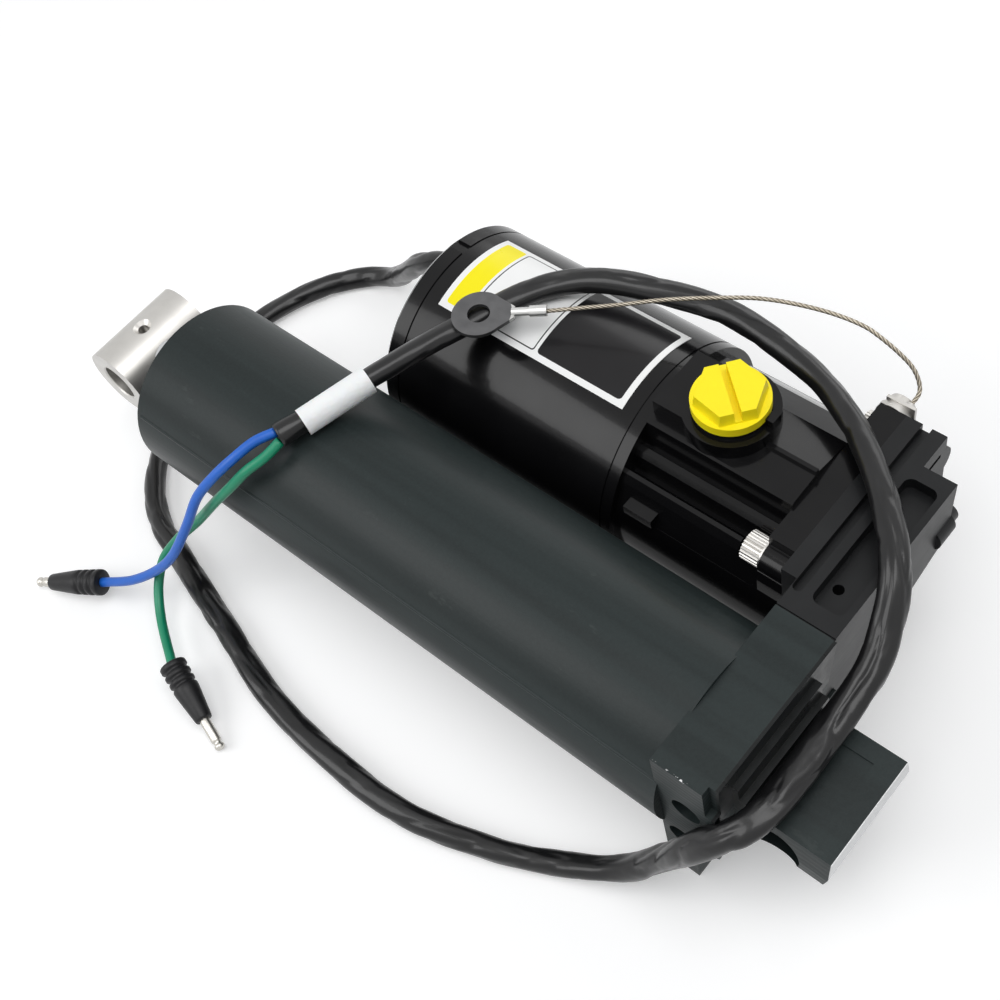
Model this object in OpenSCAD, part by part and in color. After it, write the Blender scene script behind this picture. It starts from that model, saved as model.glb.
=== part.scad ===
// Power trim and tilt unit: a hydraulic ram with its own motor, gear pump, oil reservoir and
// valve manifold. X runs along the ram towards the rod eye, the motor lies on the -Y side, Z is up,
// and the origin is the centre of the lower pivot bore.

/* [Ram cylinder] */
// Outside diameter of the ram tube
ram_d = 70; // [68:0.5:76]
// Diameter of the bore in the tube
ram_bore_d = 57; // [54:0.5:58]
// Length of the screwed-in end cap that guides the rod
gland_l = 39; // [37:0.5:46]
// Travel of the rod from closed to fully out
stroke = 160; // [140:1:164]
// Diameter of the two oil ports in the base block
port_d = 5; // [3:0.5:5.5]
// Diameter of the oil gallery drilled along the tube wall
gallery_d = 3; // [2:0.25:3.5]

/* [Base block] */
// Length of the block along the ram
block_l = 23; // [21:0.5:27]
// Width of the block across the ram on its open side, from the ram axis
block_near = 31.5; // [30:0.5:33]
// Width of the block on the manifold side, from the ram axis
block_far = 33.5; // [32.5:0.5:36]
// Height of the block above the ram axis
block_top = 33; // [31:0.5:34.5]
// Depth of the foot below the ram axis
foot_drop = 50; // [50:0.5:54]
// Diameter of the lower pivot bore
pivot_d = 17; // [14:0.5:18]
// Distance from the pivot centre to the block face
pivot_reach = 15.5; // [14:0.5:20]
// Width of the pivot lug
lug_w = 44; // [38:1:50]
// Height of the lug above the pivot centre
lug_top = 12.5; // [12:0.5:14]
// Depth of the lug below the pivot centre
lug_bottom = 14; // [12.5:0.5:15]
// Reach of the lug beyond the pivot centre
lug_nose = 19; // [17:0.5:24]

/* [Rod] */
// Diameter of the chromed rod
rod_d = 22; // [18:0.5:24]
// Diameter of the cross eye on the rod
eye_d = 30; // [28:0.5:34]
// Width of the cross eye
eye_w = 41; // [32:1:50]
// Diameter of the bore in the eye
eye_bore_d = 16; // [12:0.5:18]
// Distance from the tube end to the eye centre with the rod in
eye_reach = 32.9; // [30:0.1:40]
// Diameter of the tapped hole in the top of the eye
eye_tap_d = 4.4; // [3:0.2:6]

/* [Motor] */
// Distance of the motor axis from the ram axis
motor_side = 82.6; // [82:0.1:84]
// Depth of the motor axis below the ram axis
motor_drop = 6.1; // [5.5:0.1:6.2]
// Outside diameter of the motor can
motor_d = 87.6; // [85:0.1:87.8]
// Length of the can
can_l = 100; // [95:1:110]
// Wall of the can
can_wall = 3.5; // [2.5:0.25:4]
// Thickness of the motor end cap
motor_cap_l = 7.4; // [6:0.2:9]
// Thickness of the motor flange
motor_flange_l = 5; // [4:0.5:8]
// Diameter of the armature shaft
shaft_d = 8; // [7:0.5:9]

/* [Reservoir and pump] */
// Length of the reservoir between its flange and the motor
res_l = 60; // [58:1:70]
// Thickness of the reservoir flange
res_flange_l = 10; // [9:0.5:12]
// Wall of the reservoir
res_wall = 3.5; // [2.5:0.25:4.5]
// Distance between the two pump gears
gear_centres = 16; // [15:0.25:17]
// Number of teeth on each pump gear
gear_teeth = 10; // [10:1:12]
// Thickness of the pump gears
gear_w = 8; // [6:0.5:9]

/* [Manifold] */
// Distance from the manifold end face to the block face, along the ram
mani_set = 1; // [0.5:0.25:2]
// Width of the manifold, away from the ram block
mani_w = 83.5; // [83:0.5:88]
// Depth of the manifold below the ram axis
mani_drop = 30; // [29:0.5:34]
// Depth of the recess in the manifold top
mani_recess = 5; // [3:0.5:7]

/* [Filler cap] */
// Diameter of the filler cap
cap_d = 27.6; // [26:0.2:29]
// Height of the filler cap
cap_h = 8.6; // [8:0.2:11]
// Height of the filler boss above the ram axis
boss_top = 43.4; // [42.5:0.2:46]

/* [Cables] */
// Diameter of the harness sleeve
sleeve_d = 9.5; // [8:0.25:10]
// Diameter of one wire
wire_d = 3.9; // [3.5:0.1:4]
// Diameter of the tether cable
tether_d = 1.4; // [1:0.1:2]
// Diameter of the hole in the tether ring
ring_hole_d = 8.4; // [6:0.2:10]

/* [Hidden] */

$fn = 96;
// Overrun of every cut past the face that it leaves
over = 1;
// Radial clearance of a running or sliding fit
fit = 0.05;
// Gap left between a pressed or screwed piece and its hole
snug = 0.02;

// Stations along the ram
block_x = pivot_reach;
tube_x = block_x + block_l;
tube_root = 1;
tube_air = 0.3;
floor_l = 7.5;
floor_x = tube_x + floor_l;

// Memory piston, piston and nut, from the floor of the bore
seal_depth = 4;
seal_w = 6;
memory_gap = 1.5;
memory_l = 15.5;
memory_cup = 6.5;
memory_cup_d = 30;
memory_land = 2.5;
memory_x = floor_x + memory_gap;
nut_across = 22;
nut_l = 8;
spigot_d = 14;
piston_gap = 3;
piston_l = 20;
piston_x = memory_x + memory_l + piston_gap;
piston_front = piston_x + piston_l;
nut_x = piston_x - nut_l;

// End cap, screwed into the tube mouth
stroke_spare = 4;
gland_x = piston_front + stroke + stroke_spare;
gland_sunk = 1.5;
gland_end = gland_x + gland_l;
tube_end = gland_end + gland_sunk;
tube_l = tube_end - tube_x;
thread_l = 21;
thread_wall = 4.45;
thread_r = ram_d / 2 - thread_wall;
wiper_l = 5.5;
wiper_wall = 5;
wiper_r = rod_d / 2 + wiper_wall;
wiper_lip = 1.2;
wiper_slope = 1;
rod_seal_l = 6;
rod_seal_wall = 4;
rod_seal_r = rod_d / 2 + rod_seal_wall;
rod_seal_back = 24;
ring_cord = 2.6;
ring_back = 34;
spanner_d = 5;
spanner_depth = 7;
spanner_ring_d = 44;

// Parting ridge along the tube
ridge_d = 1.8;
ridge_sink = 0.5;
ridge_angle = 27;
ridge_short = 1.5;

// Block, foot and lug
foot_set = 10.5;
foot_step = 16;
foot_slope = 10;
step_reach = 2.4;
step_heights = [26, 19];
lug_shoulder = 1.5;
lug_side_top = 2;
lug_side_bottom = 4;
lug_taper = 6;
lug_nose_drop = 9.5;
lug_nose_shares = [0.87, 0.6, 0.28];
lug_bottom_shares = [0.43, 0.86];
pad_depth = 0.5;
pad_x = -11;
pad_l = 26;
pad_y = -14;
pad_w = 11.4;
corner_cut = 3.5;
corner_cut_drop = 16.5;
key_w = 7.5;
key_l = 2.5;
key_drop = 33;
port_x = 27;
port_z = [0, -9];
port_deep_share = 3;
port_step = 0.5;
port_ring_wall = 1;
port_ring_cord = 1.3;
// Crossing drillings differ a little in size, as shares of the port and gallery diameters
port_cross_share = 0.45;
gallery_cross_shares = [0.55, 0.45];

// Screws from the block into the manifold
screw_d = 6;
screw_hole_d = 6.6;
screw_head_d = 10;
screw_head_h = 6;
screw_sink_d = 11;
screw_sink = 16;
screw_grip = 13.5;
screw_places = [[27, 7.7], [30.5, -20]];

// Eye on the rod
eye_x = tube_end + eye_reach;
socket_wall = 1.9;
rod_tip = eye_x - eye_bore_d / 2 - socket_wall;
eye_sink_d = 8;
eye_edge = 0.6;

// Manifold body
mani_x = block_x + mani_set;
mani_y = -block_far;
mani_tail = 6;
mani_back = tube_x + mani_tail;
mani_far = mani_y - mani_w;
mani_top = block_top;
mani_front_l = 13.5;
mani_step_x = tube_x;
mani_step = 11.5;
mani_shares = [
    [0, 1], [0, -0.36], [0.32, -0.27], [0.71, 0.09], [0.79, 0.136], [0.83, 1]
];
groove_w = 3.6;
groove_depth = 3.2;
groove_set = 9.8;
groove_x = mani_back - groove_set;
groove_side = 9.4;
groove_y = mani_y - groove_side;
recess_l = 12;
recess_set = 2.6;
recess_x = mani_x + recess_set;
recess_side = 7.5;
recess_y = mani_y - recess_side;
recess_share = 0.67;
recess_w = mani_w * recess_share;
recess_r = 3;
recess_hole_d = 3.9;
recess_hole_depth = 8;
recess_hole_side = 10.3;
valve_shares = [0.5485, 0.8144];
slot_w = 7;
slot_h = 2;
slot_depth = 3;
slot_below = 6;
slot_set = 3.4;
slot_y = mani_far + slot_set;
seam_cut = 0.6;

// Valve bore across the manifold, with a poppet on each side of the spool
spool_r = 5;
spool_set = 7.5;
spool_x = mani_back - spool_set;
spool_z = -14;
spool_y = mani_y - mani_w * valve_shares[0];
spool_l = 24;
spool_travel = 2;
spool_play = 0.3;
spool_neck_r = 3;
spool_land = 6;
poppet_l = 7;
poppet_nose_r = 2.4;
poppet_nose_l = 3;
spring_l = 7.4;
spring_r = 3.6;
spring_wall = 0.8;
plug_l = abs(mani_far - (spool_y - spool_l / 2 - spool_travel - spool_play - poppet_l - spring_l));
plug_hex = 5;
plug_hex_depth = 5;

// Manual release valve
release_set = 4.5;
release_x = mani_x + release_set;
release_z = 11;
release_face = mani_y - mani_w * valve_shares[1];
release_d = 8;
release_l = 18;
release_head_d = 10;
release_head_h = 4;
release_boss_d = 13;
release_boss_l = 9;
release_ring_back = 4;
release_ring_cord = 1.6;
release_tip_l = 3;
release_tip_share = 0.25;
release_travel = 4;
driver_w = 1.4;
driver_depth = 1.6;

// Reservoir, round the motor axis, as shares of the motor radius
motor_r = motor_d / 2;
motor_y = -motor_side;
motor_z = -motor_drop;
res_x = mani_back;
res_body_x = res_x + res_flange_l;
res_end = res_body_x + res_l;
res_r_share = 0.93;
res_shoulder_share = 0.35;
res_top_shares = [
    [0.86, 0.30], [0.86, 0.35], [0.81, 0.46], [0.765, 0.57], [0.72, 0.64], [0.685, 0.65],
    [0.645, 0.60], [0.625, 0.525], [0.57, 0.525], [0.56, 0.695], [0.53, 0.735], [0.48, 0.74],
    [0.455, 0.70], [0.425, 0.70], [0.385, 0.93], [0.37, 0.95], [0.085, 0.966], [0.08, 1.00],
    [0.045, 1.00], [0.04, 0.966], [-0.33, 0.89], [-0.60, 0.72], [-0.67, 0.63], [-0.69, 0.60],
    [-0.86, 0.35], [-0.86, 0.30]
];
res_hollow_shares = [
    [0.74, 0.25], [0.52, 0.43], [0.44, 0.60], [0.34, 0.62], [0.30, 0.86], [-0.29, 0.80],
    [-0.53, 0.64], [-0.74, 0.30]
];
res_flange_shares = [
    [0.86, 0.20], [0.86, 0.50], [0.82, 0.62], [0.69, 0.80], [0.685, 0.893], [-0.786, 0.893],
    [-0.786, 0.45], [-0.86, 0.20]
];
tab_l = 12;
tab_w = 4;
tab_proud = 1.6;
tab_back = 17;
tab_x = res_end - tab_back;
tab_up = 17;
tab_z = motor_z + tab_up;
tab_share = 0.87;
tab_y = motor_y + motor_r * tab_share;
res_ring_cord = 2.4;
res_mouth_share = 0.776;
res_mouth_r = motor_r * res_mouth_share;
res_ring_wall = 2;
res_ring_r = res_mouth_r + res_ring_wall;
tunnel_l = 10.5;
tunnel_air = 0.5;
tunnel_x = res_body_x + tunnel_l;

// Socket-head screws that hold the reservoir, placed as shares of the motor radius
res_screw_shares = [[0.70, 0.64], [0.80, -0.50], [-0.80, -0.50], [-0.86, 0.38]];
res_screw_d = 6;
res_head_d = 11;
res_head_h = 8;
res_hex = 5;
res_hex_depth = 4;
res_screw_l = 20;
res_lobe_d = 13;
res_boss_d = 16;
screw_wall = 2.5;
arm_w = 9;
knurl_count = 24;
knurl_d = 0.9;

// Filler boss and cap
boss_share = 0.3917;
boss_x = res_end - res_l * boss_share;
boss_side = 0.4;
boss_y = motor_y - boss_side;
boss_d = 34;
boss_web_share = 0.76;
boss_root = 30;
boss_rise = 1.4;
neck_d = 27;
thread_hole_d = 21;
cap_plug_l = 9;
cap_skirt_h = 3.6;
cap_crown_d = 24.6;
cap_draft = 2.6;
cap_side_count = 6;
cap_angle = -40;
cap_slot_w = 2.6;
cap_slot_depth = 4.2;
cap_ring_cord = 2;
cap_air = 0.4;
nub = 4.4;
nub_share = 0.7;
nub_h = 3.4;

// Pump on the manifold face
pump_r = 26;
pump_sink = 6;
pump_l = 16;
pocket_l = gear_w + 2 * fit;
cover_l = 7;
pump_neck_share = 1.5;
pump_neck_r = 9;
pump_screw_d = 5;
pump_screw_head_d = 8.5;
pump_screw_head_h = 5;
pump_screw_grip = 9;
pump_screw_places = [[18, 6], [-18, 6]];
driven_shaft_d = 7;
shaft_lip = 1.5;
filter_wall = 1.5;
filter_l = 20;
gear_pitch_r = gear_centres / 2;
gear_module = gear_centres / gear_teeth;
gear_angle = 28;
tooth_shares = [0.8, 1.05];
gear_tip_r = gear_pitch_r + tooth_shares[0] * gear_module;
gear_root_r = gear_pitch_r - tooth_shares[1] * gear_module;
gear_root_share = 0.9;
gear_slack = 0.12;
gear_step_count = 5;
gear_base_r = gear_pitch_r * cos(gear_angle);
flank_radii = [
    for (i = [0 : gear_step_count]) gear_base_r + (gear_tip_r - gear_base_r) * i / gear_step_count
];
gear_x = mani_back + pump_l - pocket_l + fit;

// Motor stations
flange_x = res_end;
can_x = flange_x + motor_flange_l;
can_end = can_x + can_l;
motor_end = can_end + motor_cap_l;
can_r = motor_r - can_wall;
bushing_wall = 3;
bushing_r = shaft_d / 2 + bushing_wall;
bushing_l = 8.5;
boss_in = 9.5;
boss_wall = 8;
boss_r = shaft_d / 2 + boss_wall;
seal_wall = 5;
seal_r = shaft_d / 2 + seal_wall;
shaft_seal_l = 4.8;
rear_boss_l = 7.5;
rear_boss_wall = 6;
rear_boss_r = shaft_d / 2 + rear_boss_wall;
shaft_tail = 1;
shaft_air = 0.25;
bushing_proud = 1;
coupling_share = 0.4167;
coupling_x = res_end - res_l * coupling_share;
coupling_l = 15;
coupling_wall = 4.5;
coupling_r = shaft_d / 2 + coupling_wall;
shaft_split = 0.5;
spigot_l = 3.5;
cap_notch_w = 5;
cap_notch = 1.2;
seam_w = 0.8;
seam_depth = 0.5;
bevel = 1.4;

// Magnets, core, windings and commutator
magnet_t = 6;
magnet_lap = 3;
magnet_angle = 62;
air_gap = 0.7;
core_r = can_r - magnet_t - air_gap;
core_front = 11.5;
core_back = 36.5;
core_l = can_l - core_front - core_back;
core_x = can_x + core_front;
magnet_l = core_l + 2 * magnet_lap;
magnet_x = core_x - magnet_lap;
core_slot_count = 12;
slot_r = 3;
slot_cover = 2;
slot_ring_r = core_r - slot_r - slot_cover;
slot_mouth = 2;
winding_l = 7;
winding_share = 1.2;
commutator_r = 12;
commutator_l = 14;
commutator_gap = 2;
commutator_cut = 1;
commutator_x = core_x + core_l + winding_l + commutator_gap;

// Brush gear
brush_w = 8;
brush_h = 8;
brush_l = 12;
brush_air = 0.3;
brush_set = 1;
holder_set = 1;
holder_wall = 1.5;
brush_spring_l = 6;
brush_spring_d = 5;
plate_t = 3;
plate_lap = 1;
plate_air = 1;
plate_x = commutator_x + commutator_l - plate_lap;
bolt_d = 5;
bolt_head_d = 9;
bolt_head_h = 4;
bolt_inset = 1;
bolt_ring_share = 0.85;
bolt_angle = 16;
notch_angle = 100;

// Label on the can, by the angle from +Y round the motor axis
label_t = 0.25;
label_gap = 0.02;
label_set = 5.5;
label_x = can_x + label_set;
label_l = 87.5;
label_low_angle = 67;
label_high_angle = 121;
ring_facet_count = 48;
wedge_step_count = 4;

// Grommet in the motor end cap
grommet_side = -15.4;
grommet_up = 12.1;
grommet_d = 13;
grommet_wall = 1.7;
grommet_proud = 6.1;
grommet_lip = 2;
grommet_hold = 4;

// Harness sleeve from the grommet, along the table, up over the lug and manifold, to its end
harness_route = [
    [233, -98, 6], [246, -98, 6], [260, -97, -2], [273, -99, -16], [285, -102, -30],
    [297, -104, -41], [310, -100, -45], [322, -87, -45], [332, -66, -45], [336, -42, -45],
    [334, -18, -45], [327, 6, -45], [315, 29, -45], [296, 45, -45], [266, 55, -45],
    [232, 65, -45], [196, 75, -45], [160, 79, -45], [122, 78, -45], [86, 68, -45],
    [58, 55, -43], [42, 47, -34], [30, 41, -17], [18, 37, 5], [8, 29, 17], [5, 21, 20], [4, 6, 20],
    [4, -10, 20], [4, -30, 23], [7, -47, 29], [13, -61, 38], [28, -79, 40], [48, -96, 40],
    [71, -109, 39], [95, -115, 39], [119, -117, 39], [143, -112, 39], [164, -103, 41],
    [179, -87, 43], [189, -65, 43], [198, -42, 43], [203, -26, 43], [215, 11, 40]
];
blue_route = [
    [217, 10, 40], [224, 15, 38], [231, 22, 35], [237, 30, 29], [243, 38, 18],
    [249, 45, 4], [257, 51, -12], [267, 58, -27], [278, 69, -36], [287, 82, -39]
];
green_route = [
    [213, 12, 40], [217, 18, 38], [222, 26, 31], [228, 34, 21], [236, 41, 8],
    [246, 46, -6], [257, 50, -21], [262, 60, -34], [256, 72, -39], [246, 82, -39], [234, 90, -38]
];
tether_route = [
    [46, -122, 32], [46, -127, 34], [50, -130, 39], [58, -131, 44], [68, -131, 48], [79, -129, 50],
    [93, -125, 51], [106, -120, 51], [119, -112, 51], [133, -102, 51], [146, -92, 50],
    [156, -84, 50], [166, -77, 49]
];

sleeve_side_count = 10;
steep_share = 0.8;
wire_side_count = 8;

// Tag on the sleeve, between two of its points
tag_point_count = 41;
tag_l = 28;
tag_shift = 5;
tag_wall = 0.4;

// Boots and bullet terminals on the wires
boot_l = 26;
boot_r = 5.4;
boot_rib = 0.9;
boot_nose_r = 3.4;
boot_rear = 2.4;
boot_groove = 1.6;
bullet_r = 2.1;
bullet_neck_r = 1.7;
bullet_waist = 1.8;
bullet_shares = [2, 1.6, 1, 0.7, 0.3];
bullet_nose_share = 0.6;
bullet_ls = [7.5, 13.5];
blue_aim = [22.0, 11.5, -5.5];
green_aim = [-24.4, 7.8, -6.4];

// Tether ring and its ferrule, lying on the sleeve
ring_d = 20;
ring_t = 1.5;
ring_at = [186, -62.5, 48];
ferrule_r = 2.1;
ferrule_neck_r = 1.6;
ferrule_neck_l = 6.6;
ferrule_from = 12;
ring_neck_w = 5;
ring_neck_shares = [0.25, 0.433];

// Anchor screw on the far end of the reservoir flange
anchor_set = 5.5;
anchor_x = res_x + anchor_set;
anchor_z = 27;
anchor_share = 0.786;
anchor_y = motor_y - motor_r * anchor_share;
washer_r = 6.5;
washer_t = 2.5;
anchor_head_r = 5.2;
anchor_head_h = 4.5;
anchor_d = 5;
anchor_grip = 9;
tongue_w = 6;
tongue_l = 11;
tongue_t = 1.2;
tongue_top = 2;
crimp_r = 1.6;

// Colours
casting_green = "#39413f";
gloss_black = "#17181a";
casting_black = "#24272a";
steel = "#c9ccce";
chrome = "#dfe3e6";
rubber = "#1b1c1e";
copper = "#b06a3a";
ceramic = "#46484c";
brass = "#c8a450";

// Puts children drawn along +Z onto the +X axis at a place
module along_x(x, y = 0, z = 0) {
    translate([x, y, z]) rotate([0, 90, 0]) children();
}

// Puts children drawn along +Z onto the +Y axis at a place
module along_y(x, y, z) {
    translate([x, y, z]) rotate([-90, 0, 0]) children();
}

// Draws a profile given in Y and Z and runs it along +X
module profile_x(x, l) {
    translate([x, 0, 0]) rotate([90, 0, 90]) linear_extrude(l) children();
}

module rod_x(x, l, r, y = 0, z = 0) {
    along_x(x, y, z) cylinder(h = l, r = r);
}

module rod_y(x, y, z, l, r) {
    along_y(x, y, z) cylinder(h = l, r = r);
}

// Ring of a square section round the X axis
module band_x(x, l, r_out, r_in, y = 0, z = 0) {
    difference() {
        rod_x(x, l, r_out, y, z);
        rod_x(x - over, l + 2 * over, r_in, y, z);
    }
}

module o_ring(r, cord) {
    rotate_extrude() translate([r, 0]) circle(d = cord, $fn = ring_facet_count);
}

module motor_place(x = 0) {
    translate([x, motor_y, motor_z]) children();
}

module block_profile() {
    polygon([
        [block_x, block_top], [tube_x, block_top], [tube_x, -foot_drop],
        [block_x + foot_set, -foot_drop], [block_x + foot_set, -foot_step - foot_slope],
        [block_x, -foot_step]
    ]);
}

module lug_profile() {
    polygon([
        [block_x + over, lug_top], [-lug_nose, lug_top], [-lug_nose, lug_top - lug_nose_drop],
        [-lug_nose * lug_nose_shares[0], -lug_bottom * lug_bottom_shares[0]],
        [-lug_nose * lug_nose_shares[1], -lug_bottom * lug_bottom_shares[1]],
        [-lug_nose * lug_nose_shares[2], -lug_bottom], [block_x + over, -lug_bottom]
    ]);
}

module lug_section() {
    half = lug_w / 2;
    polygon([
        [lug_shoulder - half, lug_top], [half - lug_shoulder, lug_top], [half, lug_side_top],
        [half, -lug_side_bottom], [half - lug_taper, -lug_bottom], [lug_taper - half, -lug_bottom],
        [-half, -lug_side_bottom], [-half, lug_side_top]
    ]);
}

module block_body() {
    translate([0, block_near, 0]) rotate([90, 0, 0])
        linear_extrude(block_near + block_far) block_profile();
    intersection() {
        translate([0, lug_w / 2, 0]) rotate([90, 0, 0]) linear_extrude(lug_w) lug_profile();
        profile_x(-lug_nose - over, lug_nose + block_x + 2 * over) lug_section();
    }
    for (i = [0 : len(step_heights) - 1])
        translate([block_x - step_reach * (i + 1), -lug_w / 2, -lug_bottom])
            cube([step_reach * (i + 1) + over, lug_w, step_heights[i] + lug_bottom]);
}

// Locating key of the manifold, which fills a cut in the far corner of the block face
module key_profile(gap) {
    polygon([
        [mani_y - over, block_top + over], [mani_y + gap, block_top + over],
        [mani_y + key_w + gap, block_top - key_drop - over], [mani_y - over, block_top - key_drop - over]
    ]);
}

module ram_cylinder() color(casting_green) difference() {
    union() {
        rod_x(tube_x - tube_root, tube_l + tube_root, ram_d / 2);
        rotate([ridge_angle, 0, 0])
            rod_x(tube_x - tube_root / 2, tube_l - ridge_short, ridge_d / 2, ram_d / 2 - ridge_sink, 0);
        block_body();
    }
    rod_x(floor_x, tube_l, ram_bore_d / 2);
    rod_x(tube_end - thread_l - gland_sunk, thread_l + gland_sunk + over, thread_r + snug);
    rod_y(0, -lug_w / 2 - over, 0, lug_w + 2 * over, pivot_d / 2);
    for (p = screw_places) {
        rod_y(p[0], -block_far - over, p[1], block_far + block_near + 2 * over, screw_hole_d / 2);
        rod_y(p[0], block_near - screw_sink, p[1], screw_sink + over, screw_sink_d / 2);
    }
    rod_y(port_x, -block_far - over, port_z[0], block_far + over + port_d / 2, port_d / 2);
    rod_x(port_x, floor_x - port_x + over, port_d * port_cross_share);
    rod_y(port_x, -block_far - over, port_z[1], over + gallery_inset() + gallery_d / 2,
        gallery_d * gallery_cross_shares[0]);
    rod_x(port_x, gland_x - port_x - over, gallery_d / 2, gallery_y(), port_z[1]);
    rod_y(gland_x - over - gallery_d, gallery_y(), port_z[1], over + thread_wall,
        gallery_d * gallery_cross_shares[1]);
    translate([pad_x, pad_y, lug_top - pad_depth]) cube([pad_l, pad_w, pad_depth + over]);
    translate([block_x - over, block_near - corner_cut, corner_cut_drop])
        cube([corner_cut + over, corner_cut + over, block_top]);
    profile_x(block_x - over, key_l + over) key_profile(snug);
}

// The gallery runs in the middle of the tube wall, level with its port
function gallery_ring() = (ram_d + ram_bore_d) / 4;
function gallery_y() = -sqrt(pow(gallery_ring(), 2) - pow(port_z[1], 2));
function gallery_inset() = block_far + gallery_y();

module end_cap() color(casting_black) difference() {
    union() {
        rod_x(gland_x, gland_end - gland_x, ram_bore_d / 2 - snug);
        rod_x(gland_end - thread_l, thread_l, thread_r);
    }
    rod_x(gland_x - over, gland_end - gland_x + 2 * over, rod_d / 2 + fit);
    rod_x(gland_end - wiper_l, wiper_l + over, wiper_r);
    rod_x(gland_end - rod_seal_back, rod_seal_l, rod_seal_r);
    band_x(gland_end - ring_back - ring_cord / 2, ring_cord, ram_bore_d, ram_bore_d / 2 - ring_cord);
    for (s = [-1, 1])
        rod_x(gland_end - spanner_depth, spanner_depth + over, spanner_d / 2, s * spanner_ring_d / 2);
}

module rod_wiper() color(rubber) difference() {
    union() {
        rod_x(gland_end - wiper_l, wiper_l, wiper_r - snug);
        along_x(gland_end) cylinder(h = wiper_lip, r1 = wiper_r - wiper_slope,
            r2 = rod_d / 2 + 2 * fit + wiper_lip);
    }
    rod_x(gland_end - wiper_l - over, wiper_l + wiper_lip + 2 * over, rod_d / 2 + fit);
}

module rod_seal() color(rubber)
    band_x(gland_end - rod_seal_back + snug, rod_seal_l - 2 * snug, rod_seal_r - snug, rod_d / 2 + fit);

module gland_o_ring() color(rubber)
    along_x(gland_end - ring_back)
        o_ring(ram_bore_d / 2 - ring_cord / 2 - snug, ring_cord - 2 * snug);

module piston_rod() color(chrome) {
    rod_x(nut_x, piston_front - nut_x, spigot_d / 2);
    rod_x(piston_front, rod_tip - piston_front, rod_d / 2);
}

module rod_eye() color(steel) difference() {
    rod_y(eye_x, -eye_w / 2, 0, eye_w, eye_d / 2);
    rod_y(eye_x, -eye_w / 2 - over, 0, eye_w + 2 * over, eye_bore_d / 2);
    for (s = [-1, 1])
        translate([eye_x, s * (eye_w / 2 - eye_edge), 0]) rotate([-90 * s, 0, 0])
            cylinder(h = eye_edge + snug, r1 = eye_bore_d / 2, r2 = eye_bore_d / 2 + eye_edge);
    rod_x(eye_x - eye_d, rod_tip - eye_x + eye_d, rod_d / 2 + snug);
    translate([eye_x, 0, 0]) cylinder(h = eye_d, d = eye_tap_d);
    translate([eye_x, 0, eye_d / 2 - (eye_sink_d - eye_tap_d) / 2])
        cylinder(h = (eye_sink_d - eye_tap_d) / 2 + over, d1 = eye_tap_d, d2 = eye_sink_d + 2 * over);
}

module seal_groove(x) {
    band_x(x, seal_w, ram_bore_d, ram_bore_d / 2 - seal_depth);
}

module seal_band(x) {
    band_x(x + fit, seal_w - 2 * fit, ram_bore_d / 2 - fit, ram_bore_d / 2 - seal_depth + fit);
}

module piston() color(steel) difference() {
    rod_x(piston_x, piston_l, ram_bore_d / 2 - fit);
    rod_x(piston_x - over, piston_l + 2 * over, spigot_d / 2 + snug);
    seal_groove(piston_x + (piston_l - seal_w) / 2);
}

module piston_seal() color(rubber) seal_band(piston_x + (piston_l - seal_w) / 2);

module piston_nut() color(steel) difference() {
    rod_x(nut_x, nut_l, nut_across / sqrt(3), $fn = 6);
    rod_x(nut_x - over, nut_l + 2 * over, spigot_d / 2 + snug);
}

module memory_piston() color(steel) difference() {
    rod_x(memory_x, memory_l, ram_bore_d / 2 - fit);
    rod_x(memory_x + memory_l - memory_cup, memory_cup + over, memory_cup_d / 2);
    seal_groove(memory_x + memory_land);
}

module memory_seal() color(rubber) seal_band(memory_x + memory_land);

function mani_point(p) = [mani_y - p[0] * mani_w, p[1] >= 0 ? p[1] * mani_top : p[1] * mani_drop];

module mani_solid() {
    profile_x(mani_x, mani_front_l) polygon([for (p = mani_shares) mani_point(p)]);
    profile_x(mani_x + mani_front_l - over, mani_step_x - mani_x - mani_front_l + over)
        translate([mani_far, -mani_drop]) square([mani_w, mani_drop + mani_top]);
    profile_x(mani_step_x - over, mani_back - mani_step_x + over)
        translate([mani_far, -mani_drop]) square([mani_w - mani_step, mani_drop + mani_top]);
    intersection() {
        motor_place() rod_x(mani_step_x, mani_back - mani_step_x, motor_r * res_r_share);
        translate([mani_step_x, mani_far - motor_r, -foot_drop])
            cube([block_l, mani_w + motor_r, foot_drop]);
    }
    intersection() {
        profile_x(mani_x, key_l - mani_set) key_profile(0);
        translate([mani_x, mani_y, block_top - key_drop]) cube([key_l, key_w, key_drop]);
    }
    rod_y(release_x, release_face, release_z, release_boss_l, release_boss_d / 2);
    for (p = res_screw_shares) motor_place() rod_x(mani_back - res_screw_grip() - screw_wall,
        res_screw_grip() + screw_wall, res_lobe_d / 2, p[0] * motor_r, p[1] * motor_r);
    for (p = res_screw_shares) motor_place() profile_x(mani_step_x, mani_back - mani_step_x)
        rotate(atan2(p[1], p[0])) translate([0, -arm_w / 2]) square([norm(p) * motor_r, arm_w]);
}

module valve_bore(y, l) {
    rod_y(spool_x, y, spool_z, l, spool_r);
}

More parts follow.
